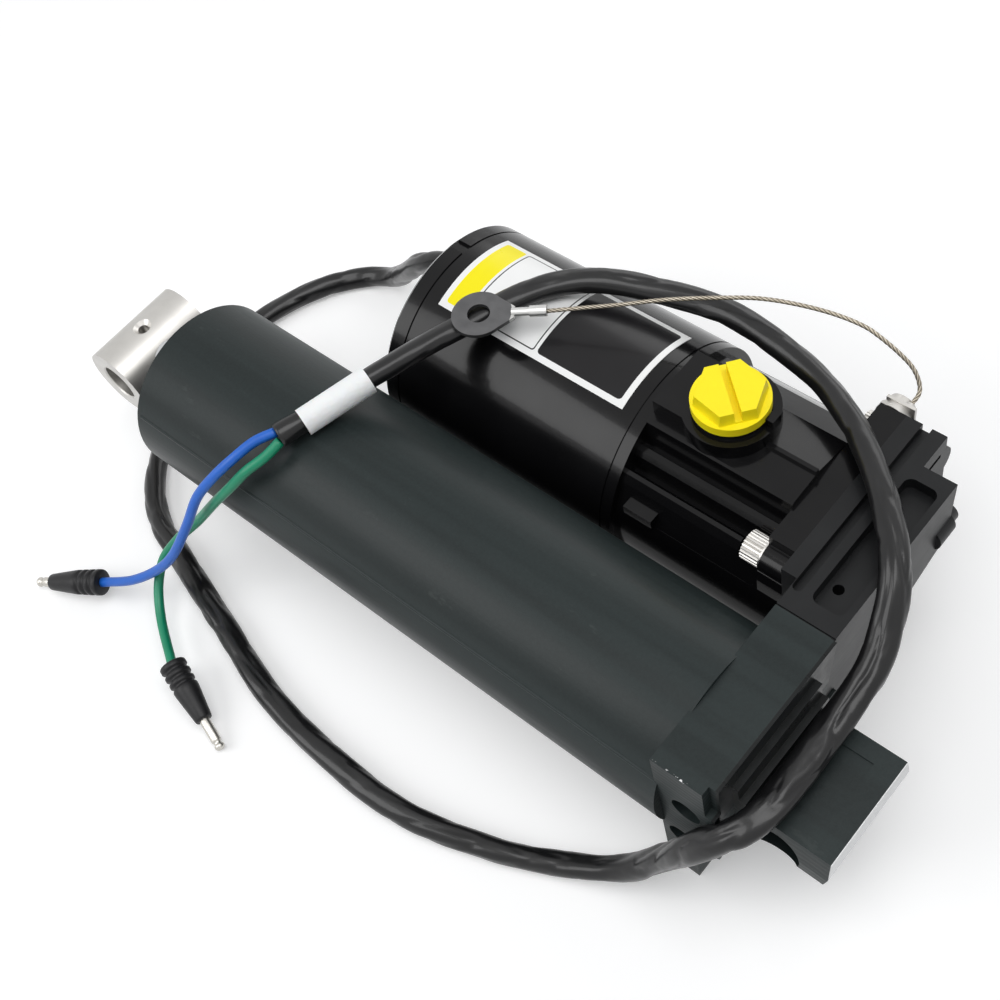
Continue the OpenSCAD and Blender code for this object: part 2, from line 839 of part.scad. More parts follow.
module mani_top_cuts() {
    translate([groove_x, mani_far - over, mani_top - groove_depth])
        cube([groove_w, groove_y - mani_far + over, groove_depth + over]);
    translate([groove_x + groove_w / 2, groove_y, mani_top - groove_depth])
        cylinder(h = groove_depth + over, d = groove_w);
    translate([recess_x + recess_r, recess_y - recess_w, mani_top - mani_recess])
        cube([recess_l - 2 * recess_r, recess_w, mani_recess + over]);
    translate([recess_x, recess_y - recess_w + recess_r, mani_top - mani_recess])
        cube([recess_l, recess_w - 2 * recess_r, mani_recess + over]);
    for (x = [recess_x + recess_r, recess_x + recess_l - recess_r])
        for (y = [recess_y - recess_r, recess_y - recess_w + recess_r])
            translate([x, y, mani_top - mani_recess]) cylinder(h = mani_recess + over, r = recess_r);
    translate([recess_x + recess_l / 2 + recess_hole_d / 2, recess_y - recess_hole_side,
        mani_top - mani_recess - recess_hole_depth])
        cylinder(h = recess_hole_depth + over, d = recess_hole_d);
    translate([mani_x - over, mani_y - seam_cut, mani_top - seam_cut])
        cube([mani_step_x - mani_x + 2 * over, seam_cut + over, seam_cut + over]);
    translate([mani_x + mani_front_l - over, slot_y, mani_top - slot_below - slot_h])
        cube([slot_depth + over, slot_w, slot_h]);
}

module manifold() color(casting_black) difference() {
    mani_solid();
    mani_top_cuts();
    rod_x(tube_x - 2 * tube_root, 2 * tube_root + over, ram_d / 2 + tube_air);
    valve_bore(mani_far - over, spring_top() - mani_far + over);
    for (p = screw_places)
        rod_y(p[0], mani_y - screw_grip - over, p[1], screw_grip + 2 * over, screw_d / 2 + snug);
    for (i = [0, 1]) {
        rod_y(port_x, mani_y - port_deep_share * port_d, port_z[i], port_deep_share * port_d + over,
            port_d / 2 - i * port_step);
        along_y(port_x, mani_y - port_ring_cord, port_z[i])
            cylinder(h = port_ring_cord + over, r = port_ring_r() + port_ring_cord / 2);
    }
    for (p = res_screw_shares) motor_place() rod_x(mani_back - res_screw_grip() - over,
        res_screw_grip() + 2 * over, res_screw_d / 2 + snug, p[0] * motor_r, p[1] * motor_r);
    for (p = pump_screw_places) motor_place() rod_x(mani_back - pump_screw_grip - over,
        pump_screw_grip + 2 * over, pump_screw_d / 2 + snug, p[0], p[1]);
    rod_y(release_x, release_face - over, release_z, release_l + 2 * over, release_d / 2 + fit);
}

function port_ring_r() = port_d / 2 + port_ring_wall;
function res_screw_grip() = res_screw_l - res_flange_l;
function spring_top() = spool_y + spool_l / 2 + spool_travel + spool_play + poppet_l + spring_l;

module manifold_screws() color(steel) for (p = screw_places) {
    rod_y(p[0], mani_y - screw_grip, p[1], block_near - screw_sink - mani_y + screw_grip, screw_d / 2);
    difference() {
        rod_y(p[0], block_near - screw_sink, p[1], screw_head_h, screw_head_d / 2);
        rod_y(p[0], block_near - screw_sink + screw_head_h - res_hex_depth, p[1], res_hex_depth + over,
            res_hex / sqrt(3), $fn = 6);
    }
}

module port_seals() color(rubber) for (z = port_z)
    along_y(port_x, mani_y - port_ring_cord / 2, z)
        o_ring(port_ring_r() - snug, port_ring_cord - 2 * snug);

module valve_plug() color(steel) difference() {
    rod_y(spool_x, mani_far, spool_z, plug_l, spool_r - snug);
    rod_y(spool_x, mani_far - over, spool_z, plug_hex_depth + over, plug_hex / sqrt(3), $fn = 6);
}

module shuttle_spool() color(steel) {
    rod_y(spool_x, spool_y - spool_l / 2, spool_z, spool_l, spool_neck_r);
    for (y = [-spool_l / 2, -spool_land / 2, spool_l / 2 - spool_land])
        rod_y(spool_x, spool_y + y, spool_z, spool_land, spool_r - fit);
}

// A poppet with its nose towards the spool, drawn from the nose outwards along +Z
module poppet() {
    cylinder(h = poppet_nose_l, r1 = poppet_nose_r, r2 = spool_r - fit);
    translate([0, 0, poppet_nose_l]) cylinder(h = poppet_l - poppet_nose_l, r = spool_r - fit);
}

function poppet_at() = spool_l / 2 + spool_travel + spool_play;

module up_poppet() color(brass) along_y(spool_x, spool_y + poppet_at(), spool_z) poppet();

module down_poppet() color(brass)
    translate([spool_x, spool_y - poppet_at(), spool_z]) rotate([90, 0, 0]) poppet();

module valve_spring(y) {
    difference() {
        rod_y(spool_x, y, spool_z, spring_l, spring_r);
        rod_y(spool_x, y - over, spool_z, spring_l + 2 * over, spring_r - spring_wall);
    }
}

module up_spring() color(steel) valve_spring(spool_y + poppet_at() + poppet_l);
module down_spring() color(steel) valve_spring(spool_y - poppet_at() - poppet_l - spring_l);

module release_valve() color(rubber) difference() {
    union() {
        rod_y(release_x, release_face - release_head_h, release_z, release_head_h, release_head_d / 2);
        rod_y(release_x, release_face, release_z, release_l - release_tip_l - release_travel, release_d / 2);
        along_y(release_x, release_face + release_l - release_tip_l - release_travel, release_z)
            cylinder(h = release_tip_l, r1 = release_d / 2, r2 = release_d * release_tip_share);
    }
    translate([release_x - driver_w / 2, release_face - release_head_h - over, release_z - release_head_d])
        cube([driver_w, driver_depth + over, 2 * release_head_d]);
    difference() {
        rod_y(release_x, release_ring_y() - release_ring_cord / 2 - fit, release_z,
            release_ring_cord + 2 * fit, release_d);
        rod_y(release_x, release_ring_y() - release_ring_cord, release_z,
            2 * release_ring_cord, release_d / 2 - release_ring_cord);
    }
}

function release_ring_y() = release_face + release_ring_back;

module release_seal() color(rubber) along_y(release_x, release_ring_y(), release_z)
    o_ring(release_d / 2 - release_ring_cord / 2 + fit / 2, release_ring_cord - fit);

module res_section() {
    intersection() {
        circle(r = motor_r * res_r_share);
        translate([-motor_r, -motor_r]) square([2 * motor_r, motor_r * (1 + res_shoulder_share)]);
    }
    polygon(res_top_shares * motor_r);
}

module res_hollow() {
    difference() {
        union() {
            intersection() {
                circle(r = motor_r * res_r_share - res_wall);
                translate([-motor_r, -motor_r]) square([2 * motor_r, motor_r * (1 + res_shoulder_share)]);
            }
            polygon(res_hollow_shares * motor_r);
        }
        for (p = res_screw_shares) translate(p * motor_r) circle(d = res_boss_d);
    }
}

module flange_section() {
    intersection() {
        circle(r = motor_r * res_r_share);
        translate([-motor_r, -motor_r]) square([2 * motor_r, motor_r * (1 + res_shoulder_share)]);
    }
    polygon(res_flange_shares * motor_r);
    for (p = res_screw_shares) translate(p * motor_r) circle(d = res_lobe_d);
}

module filler_boss() {
    translate([boss_x, boss_y, boss_root]) cylinder(h = boss_top - boss_rise - boss_root, d = boss_d);
    translate([boss_x, boss_y - boss_d * boss_web_share / 2, boss_root])
        cube([res_end - boss_x, boss_d * boss_web_share, boss_top - boss_rise - boss_root]);
    translate([boss_x, boss_y, boss_root]) cylinder(h = boss_top - boss_root, d = neck_d);
    translate([boss_x - boss_d / 2, boss_y - nub, boss_top - boss_rise - over])
        cube([nub * nub_share, nub, nub_h + over]);
}

module reservoir() color(gloss_black) difference() {
    union() {
        motor_place() profile_x(res_body_x, res_l) res_section();
        motor_place() profile_x(res_x, res_flange_l) flange_section();
        filler_boss();
        translate([tab_x, tab_y - tab_w, tab_z]) cube([tab_l, tab_w + tab_proud, tab_w]);
    }
    motor_place() profile_x(res_body_x, res_l + over) res_hollow();
    motor_place() rod_x(res_x - over, res_flange_l + 2 * over, res_mouth_r);
    translate([boss_x, boss_y, 0]) cylinder(h = boss_top + over, d = thread_hole_d + 2 * fit);
    for (p = res_screw_shares) motor_place() {
        rod_x(res_x - over, res_flange_l + 2 * over, res_screw_d / 2 + snug, p[0] * motor_r, p[1] * motor_r);
        rod_x(res_body_x, tunnel_x - res_body_x, res_head_d / 2 + tunnel_air,
            p[0] * motor_r, p[1] * motor_r);
    }
    motor_place() along_x(res_x) difference() {
        cylinder(h = res_ring_cord, r = res_ring_r + res_ring_cord / 2, center = true);
        cylinder(h = 2 * res_ring_cord, r = res_ring_r - res_ring_cord / 2, center = true);
    }
    rod_y(anchor_x, anchor_y - over, anchor_z, anchor_grip + over, anchor_d / 2 + snug);
}

module reservoir_seal() color(rubber) motor_place() along_x(res_x + res_ring_cord / 4)
    rotate_extrude() translate([res_ring_r, 0])
        square([res_ring_cord - 2 * snug, res_ring_cord / 2 - 2 * snug], center = true);

module knurled_screw() {
    difference() {
        cylinder(h = res_head_h, d = res_head_d);
        translate([0, 0, res_head_h - res_hex_depth])
            cylinder(h = res_hex_depth + over, r = res_hex / sqrt(3), $fn = 6);
        for (i = [0 : knurl_count - 1]) rotate(i * 360 / knurl_count)
            translate([res_head_d / 2, 0, knurl_d]) cylinder(h = res_head_h, d = knurl_d, $fn = 4);
    }
    translate([0, 0, -res_screw_l]) cylinder(h = res_screw_l, d = res_screw_d);
}

module reservoir_screws() color(steel) for (p = res_screw_shares)
    motor_place() along_x(res_body_x, p[0] * motor_r, p[1] * motor_r) knurled_screw();

module cap_shape() difference() {
    union() {
        cylinder(h = cap_skirt_h, d = cap_d);
        rotate(180 / cap_side_count)
            cylinder(h = cap_h, d1 = cap_crown_d + cap_draft, d2 = cap_crown_d, $fn = cap_side_count);
        translate([0, 0, -cap_plug_l - cap_air])
            cylinder(h = cap_plug_l + cap_air + over, d = thread_hole_d);
    }
    translate([-cap_d / 2, -cap_slot_w / 2, cap_h - cap_slot_depth])
        cube([cap_d, cap_slot_w, cap_slot_depth + over]);
    translate([0, 0, -cap_air - cap_plug_l / 2]) difference() {
        cylinder(h = cap_ring_cord + 2 * fit, d = thread_hole_d + over, center = true);
        cylinder(h = 2 * cap_ring_cord, d = thread_hole_d - 2 * cap_ring_cord, center = true);
    }
}

module fill_cap() color("#ffd814")
    translate([boss_x, boss_y, boss_top + cap_air]) rotate(cap_angle) cap_shape();

module cap_seal() color(rubber) translate([boss_x, boss_y, boss_top - cap_plug_l / 2])
    o_ring((thread_hole_d - cap_ring_cord) / 2 + fit / 2, cap_ring_cord - fit);

function inv_deg(a) = tan(a) * 180 / PI - a;
function flank_turn(r) = inv_deg(acos(gear_base_r / r));
function flank_angle(r) = 90 / gear_teeth - gear_slack / (4 * gear_pitch_r) * 180 / PI
    + inv_deg(gear_angle) - flank_turn(max(r, gear_base_r));

module gear_profile() {
    circle(r = gear_root_r);
    for (i = [0 : gear_teeth - 1]) rotate(i * 360 / gear_teeth) polygon(concat(
        [gear_root_r * gear_root_share * [cos(flank_angle(0)), -sin(flank_angle(0))]],
        [for (r = flank_radii) r * [cos(flank_angle(r)), -sin(flank_angle(r))]],
        [for (k = [gear_step_count : -1 : 0]) flank_radii[k]
            * [cos(flank_angle(flank_radii[k])), sin(flank_angle(flank_radii[k]))]],
        [gear_root_r * gear_root_share * [cos(flank_angle(0)), sin(flank_angle(0))]]
    ));
}

module pump_shape() {
    translate([0, -pump_sink]) circle(r = pump_r);
}

module pump_body() color(steel) difference() {
    motor_place() profile_x(mani_back, pump_l) pump_shape();
    motor_place() profile_x(gear_x - fit, pocket_l + over) {
        circle(r = gear_tip_r + fit);
        translate([0, -gear_centres]) circle(r = gear_tip_r + fit);
    }
    motor_place() rod_x(mani_back + shaft_lip, pump_l, shaft_d / 2 + fit);
    motor_place() rod_x(mani_back + shaft_lip, pump_l, driven_shaft_d / 2 + fit, 0, -gear_centres);
    for (p = pump_screw_places)
        motor_place() rod_x(mani_back - over, pump_l + 2 * over, pump_screw_d / 2 + snug, p[0], p[1]);
}

module pump_cover() color(steel) difference() {
    union() {
        motor_place() profile_x(mani_back + pump_l, cover_l) pump_shape();
        motor_place() rod_x(mani_back + pump_l, cover_l * pump_neck_share, pump_neck_r);
    }
    motor_place() rod_x(mani_back + pump_l - over, 2 * cover_l, shaft_d / 2 + fit);
    motor_place() rod_x(mani_back + pump_l - over, cover_l - shaft_lip + over,
        driven_shaft_d / 2 + fit, 0, -gear_centres);
    for (p = pump_screw_places)
        motor_place()
            rod_x(mani_back + pump_l - over, cover_l + 2 * over, pump_screw_d / 2 + snug, p[0], p[1]);
}

module pump_screws() color(steel) for (p = pump_screw_places) motor_place() {
    rod_x(mani_back - pump_screw_grip, pump_screw_grip + pump_l + cover_l, pump_screw_d / 2, p[0], p[1]);
    rod_x(mani_back + pump_l + cover_l, pump_screw_head_h, pump_screw_head_d / 2, p[0], p[1]);
}

module pump_filter() color(brass) motor_place()
    band_x(mani_back + shaft_lip, filter_l, pump_r + snug + filter_wall, pump_r + snug, 0, -pump_sink);

module driven_gear() color(steel) motor_place() {
    profile_x(gear_x, gear_w) translate([0, -gear_centres]) rotate(90 + 180 / gear_teeth) gear_profile();
    rod_x(mani_back + shaft_lip + fit, pump_l + cover_l - 2 * shaft_lip - 2 * fit,
        driven_shaft_d / 2, 0, -gear_centres);
}

module drive_gear() color(steel) motor_place() {
    profile_x(gear_x, gear_w) rotate(-90) gear_profile();
    rod_x(mani_back + shaft_lip + fit, coupling_mid() - mani_back - shaft_lip - fit - shaft_split,
        shaft_d / 2);
}

function coupling_mid() = coupling_x + coupling_l / 2;

module drive_coupling() color(steel) motor_place()
    band_x(coupling_x, coupling_l, coupling_r, shaft_d / 2 + snug);

module motor_flange() color(gloss_black) difference() {
    union() {
        motor_place() rod_x(flange_x, motor_flange_l, motor_r);
        motor_place() rod_x(flange_x - boss_in, boss_in + motor_flange_l, boss_r);
    }
    motor_place() rod_x(flange_x - boss_in - over, boss_in + motor_flange_l + 2 * over,
        shaft_d / 2 + shaft_air);
    motor_place() rod_x(flange_x - boss_in - over, shaft_seal_l + over, seal_r);
    motor_place() rod_x(can_x - bushing_l + bushing_proud, bushing_l, bushing_r);
    motor_place() band_x(can_x - seam_w, seam_w + over, motor_r + over, motor_r - seam_depth);
    bolt_holes(flange_x + bolt_inset, motor_flange_l);
}

module shaft_seal() color(rubber) motor_place()
    band_x(flange_x - boss_in, shaft_seal_l, seal_r - snug, shaft_d / 2 + fit);

module bushings() color(brass) motor_place() {
    band_x(can_x - bushing_l + bushing_proud, bushing_l, bushing_r - snug, shaft_d / 2 + fit);
    band_x(can_end - rear_boss_l, bushing_l, bushing_r - snug, shaft_d / 2 + fit);
}

module motor_can() color(gloss_black) motor_place() difference() {
    rod_x(can_x, can_l, motor_r);
    rod_x(can_x - over, can_l + 2 * over, can_r);
    band_x(can_end - seam_w, seam_w + over, motor_r + over, motor_r - seam_depth);
}

module bolt_holes(x, l) {
    for (a = [bolt_angle, bolt_angle + 180]) motor_place()
        rod_x(x, l, bolt_d / 2 + snug, motor_r * bolt_ring_share * cos(a),
            motor_r * bolt_ring_share * sin(a));
}

module motor_end_cap() color(gloss_black) difference() {
    motor_place() union() {
        rod_x(can_end, motor_cap_l - bevel, motor_r);
        along_x(motor_end - bevel) cylinder(h = bevel, r1 = motor_r, r2 = motor_r - bevel);
        rod_x(can_end - spigot_l, spigot_l + over, can_r - snug);
        rod_x(can_end - rear_boss_l, rear_boss_l + over, rear_boss_r);
    }
    motor_place() rod_x(can_end - rear_boss_l - over, bushing_l + 2 * over, bushing_r);
    motor_place() rotate([notch_angle, 0, 0])
        translate([can_end - over, motor_r - cap_notch, -cap_notch_w / 2])
            cube([motor_cap_l + 2 * over, 2 * cap_notch, cap_notch_w]);
    translate([0, grommet_y(), grommet_z()])
        rod_x(can_end - spigot_l - over, motor_cap_l + spigot_l + 2 * over, grommet_r());
    bolt_holes(can_end - spigot_l - over, motor_cap_l + spigot_l + 2 * over);
}

function grommet_y() = motor_y + grommet_side;
function grommet_z() = motor_z + grommet_up;
function grommet_r() = grommet_d / 2;

module motor_bolts() color(steel) for (a = [bolt_angle, bolt_angle + 180]) motor_place() {
    y = motor_r * bolt_ring_share * cos(a);
    z = motor_r * bolt_ring_share * sin(a);
    rod_x(flange_x + bolt_inset, motor_end - flange_x - bolt_inset, bolt_d / 2, y, z);
    rod_x(motor_end, bolt_head_h, bolt_head_d / 2, y, z);
}

module arc_wedge(from, to, r) {
    polygon(concat([[0, 0]], [for (i = [0 : wedge_step_count])
        let (a = from + (to - from) * i / wedge_step_count) 2 * r * [cos(a), sin(a)]]));
}

module magnets() color(ceramic) motor_place() for (s = [90, 270]) intersection() {
    band_x(magnet_x, magnet_l, can_r - snug, can_r - magnet_t);
    profile_x(magnet_x - over, magnet_l + 2 * over) arc_wedge(s - magnet_angle, s + magnet_angle, motor_r);
}

module armature_shaft() color(steel) motor_place()
    rod_x(coupling_mid(), can_end - coupling_mid() + shaft_tail, shaft_d / 2);

module slot_shapes(grow) {
    for (i = [0 : core_slot_count - 1]) rotate(i * 360 / core_slot_count) translate([slot_ring_r, 0])
        circle(r = slot_r + grow, $fn = ring_facet_count);
}

module armature_core() color(ceramic) motor_place() difference() {
    rod_x(core_x, core_l, core_r);
    rod_x(core_x - over, core_l + 2 * over, shaft_d / 2 + snug);
    profile_x(core_x - over, core_l + 2 * over) {
        slot_shapes(snug);
        for (i = [0 : core_slot_count - 1]) rotate(i * 360 / core_slot_count)
            translate([slot_ring_r, -slot_mouth / 2]) square([slot_r + core_r, slot_mouth]);
    }
}

module armature_windings() color(copper) motor_place() {
    profile_x(core_x, core_l) slot_shapes(0);
    for (x = [core_x - winding_l, core_x + core_l])
        band_x(x, winding_l, slot_ring_r + slot_r * winding_share, shaft_d / 2 + slot_r);
}

module commutator() color(copper) motor_place() difference() {
    band_x(commutator_x, commutator_l, commutator_r, shaft_d / 2 + snug);
    for (i = [0 : core_slot_count - 1]) rotate([i * 360 / core_slot_count, 0, 0])
        translate([commutator_x - over, -seam_depth / 2, commutator_r - commutator_cut])
            cube([commutator_l + 2 * over, seam_depth, commutator_cut + over]);
}

function brush_x() = commutator_x + (commutator_l - brush_w) / 2 - brush_set;
function brush_y() = commutator_r + brush_air;

module brush_plate() color("#7a3b23") {
    difference() {
        motor_place() band_x(plate_x, plate_t, can_r - snug, commutator_r + plate_air);
        bolt_holes(plate_x - over, plate_t + 2 * over);
    }
    motor_place() brush_holders();
}

module brush_holders() {
    for (s = [0, 180]) rotate([s, 0, 0]) difference() {
        translate([brush_x() - holder_wall, brush_y() + holder_set, -brush_h / 2 - holder_wall])
            cube([plate_x - brush_x() + holder_wall, brush_l + brush_spring_l + holder_wall - holder_set,
                brush_h + 2 * holder_wall]);
        translate([brush_x() - snug, brush_y(), -brush_h / 2 - snug])
            cube([brush_w + 2 * snug, brush_l + brush_spring_l, brush_h + 2 * snug]);
    }
}

module brushes() color("#2b2b2d") motor_place() for (s = [0, 180]) rotate([s, 0, 0])
    translate([brush_x(), brush_y(), -brush_h / 2]) cube([brush_w, brush_l, brush_h]);

module brush_springs() color(steel) motor_place() for (s = [0, 180]) rotate([s, 0, 0])
    rod_y(brush_x() + brush_w / 2, brush_y() + brush_l, 0, brush_spring_l, brush_spring_d / 2);

module can_label() color("#f2f2ee") motor_place() intersection() {
    band_x(label_x, label_l, motor_r + label_gap + label_t, motor_r + label_gap);
    profile_x(label_x - over, label_l + 2 * over) arc_wedge(label_low_angle, label_high_angle, motor_r);
}

module grommet() color(rubber) translate([0, grommet_y(), grommet_z()]) difference() {
    union() {
        rod_x(motor_end - grommet_hold, grommet_hold, grommet_r() - snug);
        rod_x(motor_end, grommet_lip, grommet_r() + grommet_lip);
        along_x(motor_end + grommet_lip) cylinder(h = grommet_proud - grommet_lip,
            r1 = grommet_r() - snug, r2 = sleeve_d / 2 + grommet_wall);
    }
    rod_x(motor_end - grommet_hold - over, grommet_hold + over, wire_d);
}

// Sweeps a tube of flat sides along a list of points. A steep run takes its sides from another axis
function unit(v) = v / norm(v);
function run_at(p, i) = unit(p[min(i + 1, len(p) - 1)] - p[max(i - 1, 0)]);
function across(t) = unit(cross(t, abs(t[2]) > steep_share ? [0, 1, 0] : [0, 0, 1]));
function ring_at_point(p, i, r, sides) =
    let (t = run_at(p, i), a = across(t), b = cross(t, a))
    [for (k = [0 : sides - 1]) p[i] + r * (cos(360 * k / sides) * a + sin(360 * k / sides) * b)];

module tube_along(p, r, sides) {
    n = len(p);
    points = [for (i = [0 : n - 1]) each ring_at_point(p, i, r, sides)];
    walls = [for (i = [0 : n - 2]) for (k = [0 : sides - 1]) each [
        [i * sides + k, i * sides + (k + 1) % sides, (i + 1) * sides + k],
        [i * sides + (k + 1) % sides, (i + 1) * sides + (k + 1) % sides, (i + 1) * sides + k]
    ]];
    near_end = [[for (k = [0 : sides - 1]) sides - 1 - k]];
    far_end = [[for (k = [0 : sides - 1]) (n - 1) * sides + k]];
    polyhedron(points = points, faces = concat(walls, near_end, far_end));
}

// Turns children drawn along +Z to point along a direction
module aim(at, v) {
    translate(at) rotate([0, acos(v[2] / norm(v)), atan2(v[1], v[0])]) children();
}

module harness_sleeve() color(rubber) tube_along(harness_route, sleeve_d / 2, sleeve_side_count);

module tag_sleeve() color("#f4f4f1") {
    way = harness_route[tag_point_count + 1] - harness_route[tag_point_count];
    aim(harness_route[tag_point_count] + tag_shift * unit(way), way) difference() {
        cylinder(h = tag_l, r = sleeve_d / 2 + fit + tag_wall);
        translate([0, 0, -over]) cylinder(h = tag_l + 2 * over, r = sleeve_d / 2 + fit);
    }
}

module blue_wire() color("#1c63d6") tube_along(blue_route, wire_d / 2, wire_side_count);
module green_wire() color("#12a078") tube_along(green_route, wire_d / 2, wire_side_count);

// Ribbed boot drawn from its rear end along +Z
module boot() {
    rotate_extrude() polygon([
        [0, 0], [boot_r, 0], [boot_r, boot_rear], [boot_r - boot_rib, boot_rear],
        [boot_r - boot_rib, boot_rear + boot_groove],
        [boot_r, boot_rear + boot_groove], [boot_r, boot_rear + 2 * boot_groove],
        [boot_r - boot_rib, boot_rear + 2 * boot_groove], [boot_r - boot_rib, boot_rear + 3 * boot_groove],
        [boot_r, boot_rear + 3 * boot_groove], [boot_r, boot_rear + 4 * boot_groove],
        [boot_r - boot_rib, boot_rear + 4 * boot_groove], [boot_r - boot_rib, boot_rear + 5 * boot_groove],
        [boot_r, boot_rear + 5 * boot_groove], [boot_r, boot_rear + 6 * boot_groove],
        [boot_nose_r, boot_l], [0, boot_l]
    ]);
}

module bullet(l) {
    rotate_extrude() polygon([
        [0, 0], [bullet_r, 0], [bullet_r, l - bullet_waist * bullet_shares[0]],
        [bullet_neck_r, l - bullet_waist * bullet_shares[1]],
        [bullet_neck_r, l - bullet_waist * bullet_shares[2]],
        [bullet_r, l - bullet_waist * bullet_shares[3]], [bullet_r, l - bullet_waist * bullet_shares[4]],
        [bullet_neck_r * bullet_nose_share, l], [0, l]
    ]);
}

module wire_boots() color(rubber) {
    aim(blue_route[len(blue_route) - 1], blue_aim) boot();
    aim(green_route[len(green_route) - 1], green_aim) boot();
}

module bullet_terminals() color(steel) {
    aim(blue_route[len(blue_route) - 1] + boot_l * unit(blue_aim), blue_aim) bullet(bullet_ls[0]);
    aim(green_route[len(green_route) - 1] + boot_l * unit(green_aim), green_aim) bullet(bullet_ls[1]);
}

module tether_cable() color(steel) tube_along(tether_route, tether_d / 2, wire_side_count);

function ferrule_end() = tether_route[len(tether_route) - 1];
function ring_way() = ferrule_end() - ring_at;

module tether_ring() color("#5b5e61") {
    l = norm([ring_way()[0], ring_way()[1]]);
    difference() {
        translate(ring_at) rotate(atan2(ring_way()[1], ring_way()[0])) {
            cylinder(h = ring_t, d = ring_d);
            linear_extrude(ring_t) polygon([
                ring_d * ring_neck_shares, [ferrule_from + over, ring_neck_w / 2],
                [ferrule_from + over, -ring_neck_w / 2],
                [ring_d * ring_neck_shares[0], -ring_d * ring_neck_shares[1]]
            ]);
        }
        translate([ring_at[0], ring_at[1], ring_at[2] - over])
            cylinder(h = ring_t + 2 * over, d = ring_hole_d);
    }
    aim(ring_at + [0, 0, ring_t / 2] + ferrule_from * unit(ring_way()), ring_way() - [0, 0, ring_t / 2]) {
        cylinder(h = ferrule_neck_l, r = ferrule_neck_r);
        translate([0, 0, ferrule_neck_l]) cylinder(h = l - ferrule_from - ferrule_neck_l, r = ferrule_r);
    }
}

module anchor_screw() color(steel) {
    rod_y(anchor_x, anchor_y - washer_t - anchor_head_h, anchor_z, anchor_head_h, anchor_head_r);
    rod_y(anchor_x, anchor_y - washer_t, anchor_z, washer_t, washer_r);
    rod_y(anchor_x, anchor_y - washer_t, anchor_z, washer_t + anchor_grip, anchor_d / 2);
    translate([tether_route[0][0] - tongue_w / 2, anchor_y - washer_t - tongue_t, anchor_z])
        cube([tongue_l, tongue_t, tether_route[0][2] - anchor_z + tongue_top]);
    rod_y(tether_route[0][0], tether_route[0][1], tether_route[0][2],
        anchor_y - washer_t - tether_route[0][1], crimp_r);
}

ram_cylinder();
end_cap();
rod_wiper();
rod_seal();
gland_o_ring();
piston_rod();
rod_eye();
piston();
piston_seal();
piston_nut();
memory_piston();
memory_seal();
manifold();
manifold_screws();
port_seals();
valve_plug();
shuttle_spool();
up_poppet();
down_poppet();
up_spring();
down_spring();
release_valve();
release_seal();
reservoir();
reservoir_seal();
reservoir_screws();
fill_cap();
cap_seal();
pump_body();
pump_cover();
pump_screws();
pump_filter();
driven_gear();
drive_gear();
drive_coupling();
motor_flange();
motor_can();
motor_end_cap();
motor_bolts();
magnets();
armature_shaft();
armature_core();
armature_windings();
commutator();
brush_plate();
brushes();
brush_springs();
bushings();
shaft_seal();
can_label();
grommet();
harness_sleeve();
tag_sleeve();
blue_wire();
green_wire();
wire_boots();
bullet_terminals();
tether_cable();
tether_ring();
anchor_screw();
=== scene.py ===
import math

import bmesh
import bpy
from mathutils import Matrix, Vector, noise


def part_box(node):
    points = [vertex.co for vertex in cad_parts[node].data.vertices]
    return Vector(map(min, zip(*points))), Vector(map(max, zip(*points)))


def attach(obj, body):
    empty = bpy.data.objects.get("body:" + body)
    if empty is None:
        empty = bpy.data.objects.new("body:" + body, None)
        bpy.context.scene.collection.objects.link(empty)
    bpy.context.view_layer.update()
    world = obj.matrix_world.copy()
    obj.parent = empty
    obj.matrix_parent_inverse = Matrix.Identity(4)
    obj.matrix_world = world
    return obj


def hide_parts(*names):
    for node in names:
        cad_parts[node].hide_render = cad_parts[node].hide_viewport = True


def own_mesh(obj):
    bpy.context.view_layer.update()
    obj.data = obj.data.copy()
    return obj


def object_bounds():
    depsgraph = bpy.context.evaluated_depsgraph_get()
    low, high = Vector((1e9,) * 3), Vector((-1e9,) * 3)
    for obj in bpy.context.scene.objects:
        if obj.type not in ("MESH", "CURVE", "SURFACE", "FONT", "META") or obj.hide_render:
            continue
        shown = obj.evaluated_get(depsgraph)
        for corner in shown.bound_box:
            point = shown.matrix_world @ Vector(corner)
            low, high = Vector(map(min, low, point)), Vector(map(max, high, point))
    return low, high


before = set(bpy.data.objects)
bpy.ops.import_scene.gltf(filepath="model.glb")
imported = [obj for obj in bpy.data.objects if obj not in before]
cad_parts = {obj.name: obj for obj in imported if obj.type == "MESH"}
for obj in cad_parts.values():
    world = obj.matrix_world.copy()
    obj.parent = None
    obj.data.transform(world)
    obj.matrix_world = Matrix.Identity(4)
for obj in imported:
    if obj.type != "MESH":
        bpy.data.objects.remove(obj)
cad_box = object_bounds()


# Camera. It looks down the length of the unit from above the lug end, as the photograph does,
# with the ram running away to the upper left. Its place is in the shared frame, in metres.
scene = bpy.context.scene
camera_place = Vector((-0.10307, 0.15309, 0.46152))
camera_right = Vector((-0.74719, -0.64267, -0.16934))
camera_up = Vector((0.47682, -0.69587, 0.53703))
camera_back = Vector((-0.46297, 0.32052, 0.82639))
camera_data = bpy.data.cameras.new("camera")
camera_data.lens = 54.86
camera_data.sensor_width = 36
camera_data.clip_start = 0.01
camera = bpy.data.objects.new("camera", camera_data)
camera.matrix_world = Matrix((
    (camera_right.x, camera_up.x, camera_back.x, camera_place.x),
    (camera_right.y, camera_up.y, camera_back.y, camera_place.y),
    (camera_right.z, camera_up.z, camera_back.z, camera_place.z),
    (0, 0, 0, 1),
))
scene.collection.objects.link(camera)
scene.camera = camera


